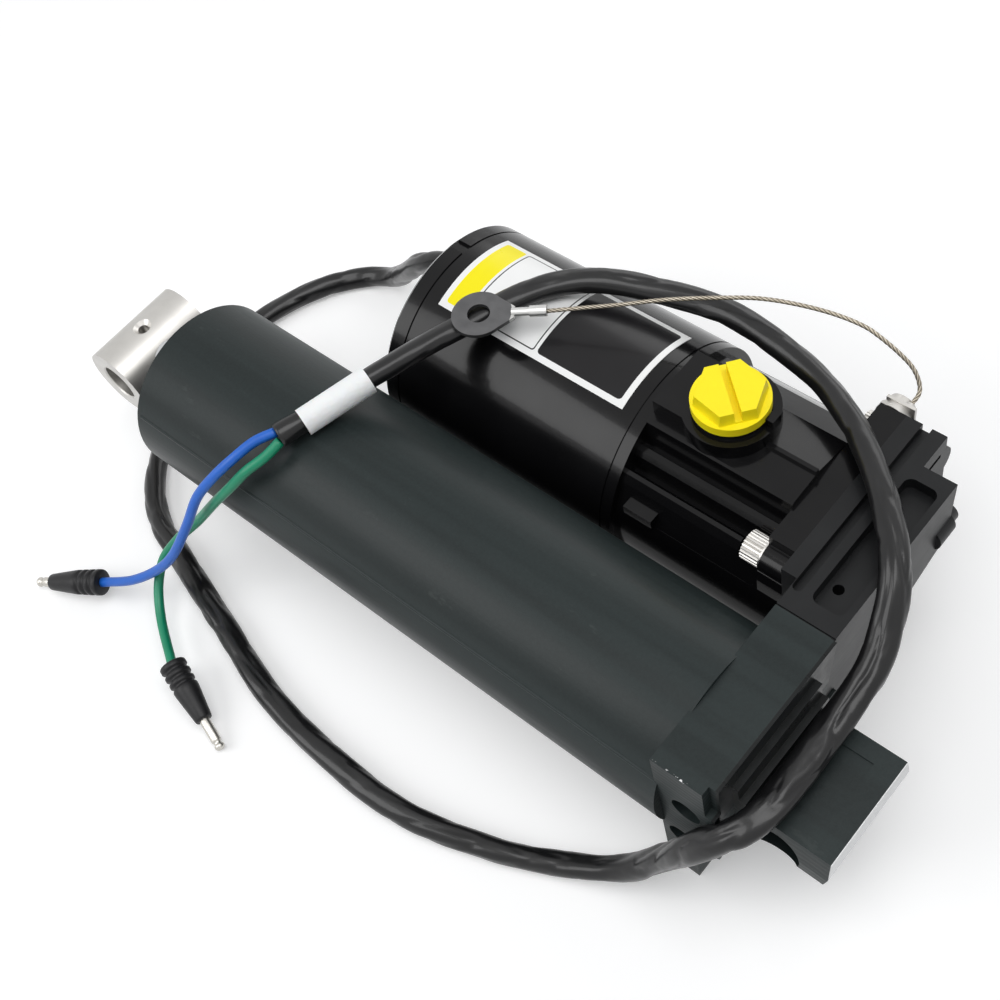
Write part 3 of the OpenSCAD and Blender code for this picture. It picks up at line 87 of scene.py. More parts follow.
# The harness sleeve: a black plastic tube shrunk over the two motor leads. It leaves the motor's
# end cap, runs round the rod eye and along the table, climbs over the pivot lug and the manifold,
# and ends above the ram. It is glossy, and puckered and sagged where it is loose.
MM = 0.001


class Sock:
    """A shader socket that adds Math nodes when it is used in an expression."""

    def __init__(self, tree, out):
        self.tree = tree
        self.out = out

    def math(self, kind, *others):
        places = dict(enumerate((self,) + others))
        return self.tree.node("Math", {"operation": kind}, places)

    def __add__(self, other):
        return self.math("ADD", other)

    def __radd__(self, other):
        return self.math("ADD", other)

    def __sub__(self, other):
        return self.math("SUBTRACT", other)

    def __rsub__(self, other):
        return self.tree.node("Math", {"operation": "SUBTRACT"}, {0: other, 1: self})

    def __mul__(self, other):
        return self.math("MULTIPLY", other)

    def step_above(self, edge, soft):
        """0 below the edge and 1 above it, with a soft rise between."""
        ways = {"data_type": "FLOAT", "interpolation_type": "SMOOTHSTEP"}
        values = {0: self, 1: edge - soft, 2: edge + soft, 3: 0.0, 4: 1.0}
        return self.tree.node("MapRange", ways, values)


class Shading:
    """The shader nodes of a material or of the world."""

    def __init__(self, owner):
        owner.use_nodes = True
        self.nodes = owner.node_tree.nodes
        self.links = owner.node_tree.links

    def feed(self, target, value):
        """Links a shader socket to an input, or gives the input its constant."""
        if isinstance(value, Sock):
            self.links.new(value.out, target)
        elif isinstance(value, tuple) and target.type == "RGBA":
            target.default_value = value + (1.0,)
        else:
            target.default_value = value

    def node(self, kind, settings=None, values=None, out=0):
        """Adds a node: its settings first, then the values or links of its sockets."""
        made = self.nodes.new("ShaderNode" + kind)
        for key, value in (settings or {}).items():
            setattr(made, key, value)
        for key, value in (values or {}).items():
            self.feed(made.inputs[key], value)
        return Sock(self, made.outputs[out])


class Finish(Shading):
    """A material with one Principled shader, whose sockets take constants or shader maths."""

    def __init__(self, name, **constants):
        self.material = bpy.data.materials.new(name)
        super().__init__(self.material)
        self.shader = self.nodes["Principled BSDF"]
        for socket, value in constants.items():
            self.set(socket.replace("_", " "), value)

    def set(self, socket, value):
        self.feed(self.shader.inputs[socket], value)

    def place(self):
        return self.node("TexCoord", out="Object")

    def along(self, axis):
        """One coordinate of the piece, X 0, Y 1 or Z 2, in metres."""
        return self.node("SeparateXYZ", None, {0: self.place()}, axis)

    def grain(self, size, detail=3.0, stretch=(1, 1, 1), rough=0.5):
        """Noise from 0 to 1 with blotches about size metres wide, drawn out by stretch."""
        scale = tuple(1.0 / s for s in stretch)
        vector = self.node("Mapping", None, {"Vector": self.place(), "Scale": scale})
        values = {"Vector": vector, "Scale": 1.0 / size, "Detail": detail, "Roughness": rough}
        return self.node("TexNoise", None, values)

    def blend(self, share, first, second):
        """A colour between two. A Mix node's colours are its inputs 6 and 7 and its output 2."""
        return self.node("Mix", {"data_type": "RGBA"}, {0: share, 6: first, 7: second}, 2)

    def bump(self, height, depth, strength=1.0):
        values = {"Height": height, "Distance": depth, "Strength": strength}
        self.set("Normal", self.node("Bump", None, values))

    def on(self, *names):
        """Paints CAD nodes with this finish."""
        for name in names:
            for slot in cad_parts[name].material_slots:
                slot.material = self.material


def centre_line(points, step):
    """A smooth line through points in millimetres, as points about one step apart."""
    spots = [Vector(p) * MM for p in points]
    spots = [spots[0] * 2 - spots[1]] + spots + [spots[-1] * 2 - spots[-2]]
    line = []
    for a, b, c, d in zip(spots, spots[1:], spots[2:], spots[3:]):
        pairs = ((a, b), (b, c), (c, d))
        u, v, w = (max((q - p).length, 1e-6) ** 0.5 for p, q in pairs)
        way_in = ((b - a) / u - (c - a) / (u + v) + (c - b) / v) * v
        way_out = ((c - b) / v - (d - b) / (v + w) + (d - c) / w) * v
        count = max(2, round((c - b).length / step))
        for i in range(count):
            t = i / count
            line.append(
                b * (2 * t ** 3 - 3 * t ** 2 + 1) + way_in * (t ** 3 - 2 * t ** 2 + t)
                + c * (3 * t ** 2 - 2 * t ** 3) + way_out * (t ** 3 - t ** 2)
            )
    return line + [spots[-2]]


def length_of(line):
    return sum((b - a).length for a, b in zip(line, line[1:]))


def finished(name, made, outward=False):
    """Turns a bmesh into an object at the origin."""
    if outward:
        bmesh.ops.recalc_face_normals(made, faces=made.faces)
    mesh = bpy.data.meshes.new(name)
    made.to_mesh(mesh)
    made.free()
    piece = bpy.data.objects.new(name, mesh)
    scene.collection.objects.link(piece)
    return piece


def swept(name, line, sides, radius, twist=0.0):
    """A closed tube along a line, with its length and turn as UV.

    radius(gone, angle, arm) is the tube's radius at a length and an angle, where the arm
    points outward. twist turns the tube as it goes, in radians a metre.
    """
    made = bmesh.new()
    last = len(line) - 1
    ways = [(line[min(i + 1, last)] - line[max(i - 1, 0)]).normalized() for i in range(last + 1)]
    side = ways[0].orthogonal().normalized()
    rings = []
    coords = []
    gone = 0.0
    for i, spot in enumerate(line):
        if i:
            gone += (spot - line[i - 1]).length
            side = ways[i - 1].rotation_difference(ways[i]) @ side
        side = (side - ways[i] * side.dot(ways[i])).normalized()
        other = ways[i].cross(side)
        ring = []
        for k in range(sides):
            angle = 2 * math.pi * k / sides
            turned_by = angle + twist * gone
            arm = side * math.cos(turned_by) + other * math.sin(turned_by)
            ring.append(made.verts.new(spot + arm * radius(gone, angle, arm)))
            coords.append((gone, k / sides))
        rings.append(ring)
    for ring, after in zip(rings, rings[1:]):
        for k in range(sides):
            beside = (k + 1) % sides
            made.faces.new((ring[k], ring[beside], after[beside], after[k]))
    made.faces.new(list(reversed(rings[0])))
    made.faces.new(rings[-1])
    layer = made.loops.layers.uv.new("UVMap")
    made.verts.index_update()
    for face in made.faces:
        face.smooth = len(face.verts) == 4
        spots = [coords[v.index] for v in face.verts]
        turns = [turn for _, turn in spots]
        wraps = max(turns) - min(turns) > 0.5
        for loop, (length, turn) in zip(face.loops, spots):
            loop[layer].uv = (length, turn + (1.0 if wraps and turn < 0.5 else 0.0))
    return finished(name, made)


sleeve_route = [
    (233, -98, 6), (246, -98, 6), (260, -97, -2), (273, -99, -16), (285, -102, -30),
    (297, -104, -41), (310, -100, -45), (322, -87, -45), (332, -66, -45), (336, -42, -45),
    (334, -18, -45), (327, 6, -45), (315, 29, -45), (296, 45, -45), (266, 55, -45),
    (232, 65, -45), (196, 75, -45), (160, 79, -45), (122, 78, -45), (86, 68, -45),
    (58, 55, -43), (42, 47, -34), (30, 41, -17), (18, 37, 5), (8, 29, 17), (5, 21, 20),
    (4, 6, 20), (4, -10, 20), (4, -30, 23), (7, -47, 29), (13, -61, 38), (28, -79, 40),
    (48, -96, 40), (71, -109, 39), (95, -115, 39), (119, -117, 39), (143, -112, 39),
    (164, -103, 41), (179, -87, 43), (189, -65, 43), (198, -42, 43), (203, -26, 43),
    (217.3, 14.3, 39.5),
]
sleeve_r = 4.7 * MM
sleeve_sides = 40
cord_step = 1.2 * MM
end_ease = 12 * MM
loose_places = ((0.62, 0.1, 0.9), (0.3, 0.05, 0.7), (0.03, 0.05, 0.4))
least_loose = 0.45
full_from, tag_from = 0.22, 0.962
sag_wide, full_wide = 0.24, 0.09
fold_swirl, lead_twist = 22, 14
slow_depth, fold_depth, small_depth, lead_depth = 0.09, 0.17, 0.03, 0.06
deepest_fold = 0.36
sleeve_line = centre_line(sleeve_route, cord_step)
sleeve_length = length_of(sleeve_line)


def ramp(value, reach):
    """0 below zero, 1 beyond the reach and straight between."""
    return min(1.0, max(0.0, value / reach))


def skin_noise(swirl, gone, across, along, start=0):
    """Smooth noise on a tube's skin, as fine as the across and along factors make it."""
    place = (math.cos(swirl) * across, math.sin(swirl) * across, gone * along + start)
    return noise.noise(Vector(place))


def sleeve_shape(gone, angle, arm):
    """Folds round the sleeve, the slow twist of its leads, and the oval it sags to where loose."""
    share = gone / sleeve_length
    loose = 0.0
    for place, reach, amount in loose_places:
        loose += amount * math.exp(-((share - place) / reach) ** 2)
    full = ramp(share - full_from, 0.05) * ramp(tag_from - share, 0.02)
    wide = (sag_wide * loose + full_wide * full) * (1 - arm.z ** 2)
    loose += least_loose
    swirl = angle + gone * fold_swirl
    slow = skin_noise(swirl, gone, 0.9, 34)
    fold = 1 - min(1.0, 2.2 * abs(skin_noise(swirl, gone, 0.8, 44, 7)))
    small = 1 - min(1.0, 3.0 * abs(skin_noise(swirl, gone, 2.4, 130, 19)))
    leads = math.cos(2 * (angle - gone * lead_twist))
    inward = slow_depth * (0.5 - slow) + fold_depth * fold ** 2 + small_depth * small ** 3
    inward = lead_depth * (1 - leads) + loose * inward
    ease = ramp(min(gone, sleeve_length - gone), end_ease)
    return sleeve_r * (1 + ease * (wide - max(0.0, min(inward, deepest_fold))))


sleeve = swept("harness_sleeve_shrunk", sleeve_line, sleeve_sides, sleeve_shape)
sleeve_black = Finish("sleeve_black", Specular_IOR_Level=0.3, Coat_Roughness=0.12)
sleeve_dark, sleeve_pale = (0.004, 0.004, 0.0044), (0.008, 0.008, 0.0086)
crease_scale = (42, 4.0, 1)
lengthwise = sleeve_black.node("UVMap", {"uv_map": "UVMap"})
crease = sleeve_black.node("TexNoise", None, {
    "Vector": sleeve_black.node("Mapping", None, {"Vector": lengthwise, "Scale": crease_scale}),
    "Scale": 1.0, "Detail": 1.5, "Distortion": 0.6,
})
speck = sleeve_black.grain(0.9 * MM, 2.0)
sleeve_black.set("Base Color", sleeve_black.blend(crease, sleeve_dark, sleeve_pale))
sleeve_black.set("Roughness", 0.24 + crease * 0.14 + speck * 0.05)
sleeve_black.set("Coat Weight", 0.1 + crease * 0.2)
sleeve_black.bump(crease * 0.8 + speck * 0.05, 0.5 * MM, 0.4)
sleeve.data.materials.append(sleeve_black.material)
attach(sleeve, "housing")
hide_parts("harness_sleeve")


# The two motor leads: stranded wire in blue and green insulation. They come out of the sleeve's
# end side by side, the blue one crosses over the green one twice, and each ends in a rubber boot.
blue_route = [
    (219.3, 13.3, 39.5), (224.2, 20.6, 38), (228, 29.7, 34.8), (233.2, 37.6, 28.5),
    (238.8, 44.7, 19.5), (243.2, 52.5, 6), (251, 61.7, -11.5), (259.3, 67.5, -22),
    (270.9, 74.9, -31), (287, 82, -39),
]
green_route = [
    (215.3, 15.3, 39.3), (217.2, 22.1, 36.5), (221.4, 29.8, 32.8), (226.8, 35.9, 25.5),
    (235.6, 40.8, 14), (248.6, 46.4, -4), (259, 54, -17), (264, 62, -26.5),
    (262, 69.6, -33), (253.9, 78.2, -38), (234, 90, -38),
]
wire_r = 1.95 * MM
wire_sides = 18
strand_lay = 420


def wire_shape(gone, angle, arm):
    """Round insulation, drawn in very slightly between the strands that lie under it."""
    return wire_r * (1 - 0.006 * (1 + math.cos(6 * angle + gone * strand_lay)))


def insulation(name, colour, deep):
    """Extruded insulation: an even colour with a soft sheen and handling marks."""
    skin = Finish(name, Specular_IOR_Level=0.5, Subsurface_Weight=0.04, Subsurface_Scale=0.002)
    cloud = skin.grain(6 * MM, 3.0)
    speckle = skin.grain(0.8 * MM, 2.0)
    skin.set("Base Color", skin.blend(cloud, colour, deep))
    skin.set("Roughness", 0.33 + cloud * 0.12 + speckle * 0.06)
    skin.bump(cloud * 0.4 + speckle * 0.2, 0.12 * MM, 0.6)
    return skin


wire_pieces = {}
blues = (0.009, 0.135, 0.60), (0.006, 0.10, 0.48)
greens = (0.0, 0.27, 0.135), (0.0, 0.19, 0.095)
for name, route, (colour, deep), slot in (
    ("blue_wire", blue_route, blues, "blue_insulation"),
    ("green_wire", green_route, greens, "green_insulation"),
):
    line = centre_line(route, cord_step)
    wire = swept(name + "_insulated", line, wire_sides, wire_shape)
    wire.data.materials.append(insulation(name + "_skin", colour, deep).material)
    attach(wire, "housing")
    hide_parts(name)
    wire_pieces[name] = (wire, line)


# The boots and bullets: moulded black rubber boots with ribs to grip, pushed over the crimps of
# turned and tinned brass bullets. Both boots are one moulding, and both lie where the wires end.
boot_l = 26 * MM
boot_sides = 56
bullet_sides = 40
boot_profile = [
    (0.0, 2.1), (0.0, 5.0), (0.35, 5.35), (2.0, 5.4), (2.35, 5.1), (2.5, 4.55), (3.8, 4.5),
    (4.0, 5.0), (4.3, 5.3), (5.5, 5.3), (5.8, 5.0), (6.0, 4.5), (7.2, 4.45), (7.4, 4.95),
    (7.7, 5.2), (8.8, 5.2), (9.1, 4.9), (9.3, 4.45), (10.4, 4.4), (10.6, 4.9), (11.0, 5.1),
    (12.6, 5.05), (14.0, 4.85), (18.0, 4.35), (22.0, 3.85), (25.2, 3.45), (25.9, 3.2),
    (26.0, 2.7), (26.0, 1.9),
]
bullet_profiles = {
    "blue_wire": [
        (-1, 0), (-1, 1.9), (0, 2.05), (3.6, 2.05), (3.9, 1.95), (4.4, 1.5), (5.2, 1.5),
        (5.6, 1.9), (6.1, 2.05), (6.6, 1.95), (7.1, 1.6), (7.4, 1.1), (7.5, 0),
    ],
    "green_wire": [
        (-1, 0), (-1, 1.9), (0, 2.05), (9.4, 2.05), (9.8, 1.95), (10.3, 1.5), (11.1, 1.5),
        (11.5, 1.9), (12.0, 2.05), (12.6, 1.95), (13.1, 1.6), (13.4, 1.1), (13.5, 0),
    ],
}
boot_aims = {"blue_wire": Vector((22.0, 11.5, -5.5)), "green_wire": Vector((-24.4, 7.8, -6.4))}


def turned(name, start, way, profile, sides):
    """A solid of revolution along a direction, from (length, radius) pairs in millimetres."""
    made = bmesh.new()
    side = way.orthogonal().normalized()
    other = way.cross(side)
    rings = []
    for length, radius in profile:
        centre = start + way * length * MM
        if radius == 0:
            rings.append([made.verts.new(centre)])
            continue
        ring = []
        for k in range(sides):
            angle = 2 * math.pi * k / sides
            arm = side * math.cos(angle) + other * math.sin(angle)
            ring.append(made.verts.new(centre + arm * radius * MM))
        rings.append(ring)
    for ring, after in zip(rings, rings[1:]):
        for k in range(sides):
            corners = []
            for v in (ring[k % len(ring)], ring[(k + 1) % len(ring)],
                      after[(k + 1) % len(after)], after[k % len(after)]):
                if v not in corners:
                    corners.append(v)
            made.faces.new(corners)
    for ring in (rings[0], rings[-1]):
        if len(ring) > 1:
            made.faces.new(ring)
    for face in made.faces:
        face.smooth = len(face.verts) < 5
    return finished(name, made, outward=True)


boot_rubber = Finish("boot_rubber", Specular_IOR_Level=0.3)
rubber_dark, rubber_pale = (0.007, 0.007, 0.008), (0.014, 0.014, 0.015)
boot_cloud = boot_rubber.grain(4 * MM, 4.0)
boot_speck = boot_rubber.grain(0.6 * MM, 2.0)
boot_rubber.set("Base Color", boot_rubber.blend(boot_cloud, rubber_dark, rubber_pale))
boot_rubber.set("Roughness", 0.36 + boot_cloud * 0.18)
boot_rubber.bump(boot_cloud * 0.5 + boot_speck * 0.35, 0.2 * MM, 0.6)

tinned = Finish("tinned_bullet", Metallic=1.0)
tin_bright, tin_dull = (0.62, 0.60, 0.56), (0.46, 0.445, 0.41)
tin_cloud = tinned.grain(3 * MM, 4.0)
tin_line = tinned.grain(0.7 * MM, 2.0)
tinned.set("Base Color", tinned.blend(tin_cloud, tin_bright, tin_dull))
tinned.set("Roughness", 0.22 + tin_cloud * 0.2 + tin_line * 0.06)
tinned.bump(tin_line + tin_cloud * 0.5, 0.08 * MM, 0.5)

for name, (wire, line) in wire_pieces.items():
    way = boot_aims[name].normalized()
    boot = turned(name + "_boot", line[-1], way, boot_profile, boot_sides)
    boot.data.materials.append(boot_rubber.material)
    boot_tip = line[-1] + way * boot_l
    bullet = turned(name + "_bullet", boot_tip, way, bullet_profiles[name], bullet_sides)
    bullet.data.materials.append(tinned.material)
    for piece, node in ((boot, "wire_boots"), (bullet, "bullet_terminals")):
        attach(piece, "housing")
        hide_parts(node)
    round(length_of(line), 4)


# The tether: a thin stranded stainless cable, swaged into a ring terminal that lies on the
# sleeve. It runs in a long arch over the filler end and down to the tab under the anchor screw.
tether_route = [
    (46, -122, 32), (46, -127, 34), (50, -130, 39), (58, -130.8, 44), (68, -130.8, 48),
    (79, -129, 50), (93, -125, 51), (106, -120, 51), (119, -112, 51), (133, -102, 51),
    (146, -92, 50), (156, -84, 50), (166, -77, 49),
]
tether_r = 0.8 * MM
tether_sides = 32
tether_step = 0.35 * MM
strand_count = 4
lay_turn = 2 * math.pi / (8 * MM)
tether_line = centre_line(tether_route, tether_step)
widest_y = min(spot[1] for spot in tether_route) * MM
for spot in tether_line:
    spot.y = max(spot.y, widest_y)


def strand_shape(gone, angle, arm):
    """Round strands side by side: a lobed outline that the twist turns into a rope's lay."""
    turn = (angle * strand_count / (2 * math.pi)) % 1 - 0.5
    return tether_r * (0.6 + 0.4 * math.cos(turn * 2.4))


tether = swept("tether_strands", tether_line, tether_sides, strand_shape, lay_turn)
strand_steel = Finish("strand_steel", Metallic=1.0)
strand_bright, strand_dull = (0.46, 0.42, 0.35), (0.27, 0.235, 0.185)
# the colour of the grooves between the strands, which are darker
groove_dark = (0.03, 0.024, 0.018)
strand_cloud = strand_steel.grain(4 * MM, 3.0)
strand_uv = strand_steel.node("UVMap", {"uv_map": "UVMap"})
round_it = strand_steel.node("SeparateXYZ", None, {0: strand_uv}, 1)
# the grooves between the strands are darker and rougher
groove = ((round_it * strand_count).math("FRACT") - 0.5).math("ABSOLUTE").step_above(0.38, 0.1)
strand_shade = strand_steel.blend(strand_cloud, strand_bright, strand_dull)
strand_steel.set("Base Color", strand_steel.blend(groove, strand_shade, groove_dark))
strand_steel.set("Roughness", 0.34 + strand_cloud * 0.2 + groove * 0.3)
strand_steel.bump(strand_steel.grain(0.3 * MM, 2.0), 0.03 * MM, 0.5)
tether.data.materials.append(strand_steel.material)
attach(tether, "housing")
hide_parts("tether_cable")
round(length_of(tether_line), 4)


# The ring terminal: blanked from sheet steel and dark plated. The barrel beside the ring is
# bright, and it is crimped round the end of the tether.
dark_plate = Finish("dark_plate", Metallic=1.0)
plate_dark, plate_pale = (0.085, 0.085, 0.088), (0.15, 0.15, 0.153)
barrel_bright = (0.55, 0.55, 0.54)
ring_x, ring_y, ring_r = 186 * MM, -62.5 * MM, 12 * MM
plate_cloud = dark_plate.grain(5 * MM, 4.0)
plate_line = dark_plate.grain(1.6 * MM, 3.0, (8, 1, 1))
from_x, from_y = dark_plate.along(0) - ring_x, dark_plate.along(1) - ring_y
from_ring = (from_x * from_x + from_y * from_y).math("SQRT")
barrel = from_ring.step_above(ring_r, 0.1 * MM)
plate_shade = dark_plate.blend(plate_cloud, plate_dark, plate_pale)
dark_plate.set("Base Color", dark_plate.blend(barrel, plate_shade, barrel_bright))
dark_plate.set("Roughness", 0.34 + plate_cloud * 0.2 - barrel * 0.08)
dark_plate.bump(plate_line, 0.06 * MM, 0.5)
dark_plate.on("tether_ring")


# The tag: a short plain sleeve of white plastic, shrunk over the harness sleeve near its end.
# It is satin, lets a little light in, and is puckered where it shrank.
tag_white = Finish(
    "tag_white", Specular_IOR_Level=0.4, Subsurface_Weight=0.08, Subsurface_Scale=0.001,
)
tag_pale, tag_grey = (0.92, 0.92, 0.92), (0.85, 0.855, 0.855)
tag_cloud = tag_white.grain(7 * MM, 3.0)
tag_pucker = tag_white.grain(2.2 * MM, 3.0)
tag_white.set("Base Color", tag_white.blend(tag_cloud, tag_pale, tag_grey))
tag_white.set("Roughness", 0.42 + tag_cloud * 0.14)
tag_white.bump(tag_pucker, 0.35 * MM, 0.7)
tag_white.on("tag_sleeve")


# The ram: a machined aluminium tube in one with its base block and pivot lug. Its hard coat is a
# dark grey green with a fine mottle, satin with long faint draw lines on the tube, milled and
# duller on the block and glossy at the lug's root. Long lighter and darker bands along the tube
# are painted reflections, and the lug's root is darkened to near black as painted shade. Chips on
# one edge and the lug's end show the bare metal.
ram_coat = Finish("ram_coat", Specular_IOR_Level=0.19, Coat_Roughness=0.3)
coat_dark, coat_pale = (0.0035, 0.0058, 0.006), (0.024, 0.0335, 0.0335)
# the second colour on the next line is painted shade: the near black for the lug's root
coat_scuffed, root_painted_shade = (0.075, 0.085, 0.082), (0.0022, 0.0024, 0.0026)
bare_metal = (0.56, 0.565, 0.57)
block_end, root_end, lug_end = 38.5 * MM, 16.7 * MM, -18.8 * MM
worn_top, worn_side, root_top = 32.5 * MM, 31.0 * MM, 12.8 * MM
hard_line, soft_line = 0.1 * MM, 0.2 * MM
ram_x, ram_y, ram_z = (ram_coat.along(axis) for axis in range(3))
# painted reflection: this broad lengthwise noise also lightens and darkens the coat in long bands
# along the tube
ram_cloud_and_painted_bands = ram_coat.grain(30 * MM, 5.0, (7, 1, 1))
ram_draw = ram_coat.grain(1.2 * MM, 3.0, (60, 1, 1))
ram_speck = ram_coat.grain(0.7 * MM, 2.0)
ram_mottle = ram_coat.grain(1.3 * MM, 5.0, rough=0.75)
# painted reflection: lengthwise streaks of lighter and darker coat along the tube
ram_painted_streaks = ram_coat.grain(9 * MM, 2.0, (50, 1, 1)).step_above(0.5, 0.12)
scuff = ram_coat.grain(11 * MM, 6.0, (2.2, 1, 1), 0.65).step_above(0.665, 0.03)
block_zone = 1 - ram_x.step_above(block_end, soft_line)
root_zone = (1 - ram_x.step_above(root_end, hard_line)) * ram_z.step_above(root_top, hard_line)
mill_marks = ram_coat.node("TexWave", {"wave_type": "BANDS", "bands_direction": "Z"}, {
    "Vector": ram_coat.place(), "Scale": 130.0, "Distortion": 2.5, "Detail": 2.0,
    "Detail Scale": 2.0,
})
milled = block_zone * (1 - root_zone) * mill_marks
worn_edge = ram_z.step_above(worn_top, soft_line) * ram_y.step_above(worn_side, soft_line)
chips = ram_coat.grain(2.2 * MM, 4.0).step_above(0.56, 0.02) * worn_edge * block_zone
bare = chips.math("MAXIMUM", 1 - ram_x.step_above(lug_end, hard_line))
# the coat's own mottle mixed with the painted reflection bands and streaks
mottle_and_painted_bands = ram_cloud_and_painted_bands * 0.3 + ram_mottle * 0.5 + ram_painted_streaks * 0.2
ram_shade = ram_coat.blend(mottle_and_painted_bands, coat_dark, coat_pale)
ram_shade = ram_coat.blend(scuff * 0.2, ram_shade, coat_scuffed)
# painted shade: the coat at the lug's root is darkened to near black
ram_shade = ram_coat.blend(root_zone * 0.85, ram_shade, root_painted_shade)
ram_rough = 0.31 + ram_cloud_and_painted_bands * 0.12 + ram_draw * 0.08 + ram_painted_streaks * 0.08
ram_coat.set("Base Color", ram_coat.blend(bare, ram_shade, bare_metal))
ram_coat.set("Metallic", bare)
ram_coat.set("Roughness", ram_rough + scuff * 0.1 - root_zone * 0.12)
ram_coat.set("Coat Weight", 0.03 + ram_cloud_and_painted_bands * 0.06)
ram_coat.bump(ram_draw * 0.35 + ram_speck * 0.35 + milled * 0.5, 0.08 * MM, 0.8)
ram_coat.on("ram_cylinder")


# The end cap: an aluminium guide for the rod, coated as the ram is. It is screwed into the mouth
# of the tube by its two spanner holes.
cap_coat = Finish("cap_coat", Specular_IOR_Level=0.3)
cap_dark, cap_pale = (0.017, 0.019, 0.0195), (0.03, 0.033, 0.034)
cap_cloud = cap_coat.grain(8 * MM, 4.0)
cap_coat.set("Base Color", cap_coat.blend(cap_cloud, cap_dark, cap_pale))
cap_coat.set("Roughness", 0.36 + cap_cloud * 0.16)
cap_coat.bump(cap_coat.grain(0.6 * MM, 2.0), 0.06 * MM, 0.5)
cap_coat.on("end_cap")


# The wiper, the seals, the O-rings and the grommet: moulded black rubber, with the finish of the
# boots. The rings sit in grooves, and the grommet is pressed into the motor's end cap.
boot_rubber.on(
    "rod_wiper", "rod_seal", "gland_o_ring", "piston_seal", "memory_seal", "port_seals",
    "release_seal", "reservoir_seal", "cap_seal", "shaft_seal", "grommet",
)


# The rod: steel, ground and hard chromed, and close to a mirror. One end is fixed in the cross
# eye, and a nut holds the piston on the other.
chrome = Finish("rod_chrome", Metallic=1.0)
chrome_pale, chrome_dark = (0.60, 0.61, 0.62), (0.52, 0.53, 0.545)
chrome_line = chrome.grain(0.5 * MM, 2.0, (0.4, 6, 6))
chrome_haze = chrome.grain(20 * MM, 3.0)
chrome.set("Base Color", chrome.blend(chrome_haze, chrome_pale, chrome_dark))
chrome.set("Roughness", 0.06 + chrome_haze * 0.06 + chrome_line * 0.05)
chrome.bump(chrome_line, 0.01 * MM, 0.4)
chrome.on("piston_rod")


# The cross eye and the bright screws: turned stainless bar with fine lathe lines. The eye is
# drilled and reamed for its pin, and the screws hold the reservoir and the tether's tab.
bright = Finish("turned_bright", Metallic=1.0)
bright_pale, bright_dark = (0.60, 0.585, 0.56), (0.46, 0.45, 0.43)
bright_line = bright.grain(0.35 * MM, 2.0, (40, 1, 40))
bright_cloud = bright.grain(9 * MM, 4.0)
bright.set("Base Color", bright.blend(bright_cloud, bright_pale, bright_dark))
bright.set("Roughness", 0.27 + bright_cloud * 0.14 + bright_line * 0.1)
bright.bump(bright_line, 0.03 * MM, 0.6)
bright.on("rod_eye", "anchor_screw", "reservoir_screws")


# The other steel parts of ram, valves, pump and motor: pistons, spool, gears, shafts and screws,
# machined from bar or cast and then machined, and oiled. Their surface is fine and even.
machined = Finish("machined_steel", Metallic=1.0)
machined_pale, machined_dark = (0.46, 0.46, 0.465), (0.33, 0.33, 0.335)
machined_cloud = machined.grain(6 * MM, 4.0)
machined_line = machined.grain(0.5 * MM, 2.0)
machined.set("Base Color", machined.blend(machined_cloud, machined_pale, machined_dark))
machined.set("Roughness", 0.3 + machined_cloud * 0.2)
machined.bump(machined_line, 0.04 * MM, 0.5)
machined.on(
    "piston", "piston_nut", "memory_piston", "manifold_screws", "valve_plug", "shuttle_spool",
    "pump_body", "pump_cover", "pump_screws", "driven_gear", "drive_gear", "drive_coupling",
    "motor_bolts", "armature_shaft",
)


# The springs: steel wire wound on a mandrel. Two return the poppets to the shuttle valve, and two
# smaller ones press the brushes on the commutator. One node tree winds them all.
turn_steps, wire_facets = 24, 10
coil_tree = bpy.data.node_groups.new("wound_coil", "GeometryNodeTree")
for title, kind in (
    ("Turns", "Float"), ("Coil Radius", "Float"), ("Length", "Float"), ("Wire Radius", "Float"),
    ("Finish", "Material"),
):
    coil_tree.interface.new_socket(title, in_out="INPUT", socket_type="NodeSocket" + kind)
coil_tree.interface.new_socket("Coil", in_out="OUTPUT", socket_type="NodeSocketGeometry")
coil_in, coil_out, helix, wire_round, coil_skin, coil_whole, coil_finish = (
    coil_tree.nodes.new(kind) for kind in (
        "NodeGroupInput", "NodeGroupOutput", "GeometryNodeCurveSpiral",
        "GeometryNodeCurvePrimitiveCircle", "GeometryNodeCurveToMesh",
        "GeometryNodeRealizeInstances", "GeometryNodeSetMaterial",
    )
)
helix.inputs["Resolution"].default_value = turn_steps
wire_round.inputs["Resolution"].default_value = wire_facets
coil_skin.inputs["Fill Caps"].default_value = True
for source, target in (
    (coil_in.outputs["Turns"], helix.inputs["Rotations"]),
    (coil_in.outputs["Coil Radius"], helix.inputs["Start Radius"]),
    (coil_in.outputs["Coil Radius"], helix.inputs["End Radius"]),
    (coil_in.outputs["Length"], helix.inputs["Height"]),
    (coil_in.outputs["Wire Radius"], wire_round.inputs["Radius"]),
    (helix.outputs["Curve"], coil_skin.inputs["Curve"]),
    (wire_round.outputs["Curve"], coil_skin.inputs["Profile Curve"]),
    (coil_skin.outputs["Mesh"], coil_whole.inputs["Geometry"]),
    (coil_whole.outputs["Geometry"], coil_finish.inputs["Geometry"]),
    (coil_in.outputs["Finish"], coil_finish.inputs["Material"]),
    (coil_finish.outputs["Geometry"], coil_out.inputs["Coil"]),
):
    coil_tree.links.new(source, target)

spring_wire = Finish("spring_wire", Metallic=1.0)
spring_pale, spring_dark = (0.40, 0.40, 0.41), (0.28, 0.28, 0.285)
spring_cloud = spring_wire.grain(2 * MM, 3.0)
spring_wire.set("Base Color", spring_wire.blend(spring_cloud, spring_pale, spring_dark))
spring_wire.set("Roughness", 0.25 + spring_cloud * 0.2)
spring_wire.bump(spring_cloud, 0.02 * MM, 0.5)


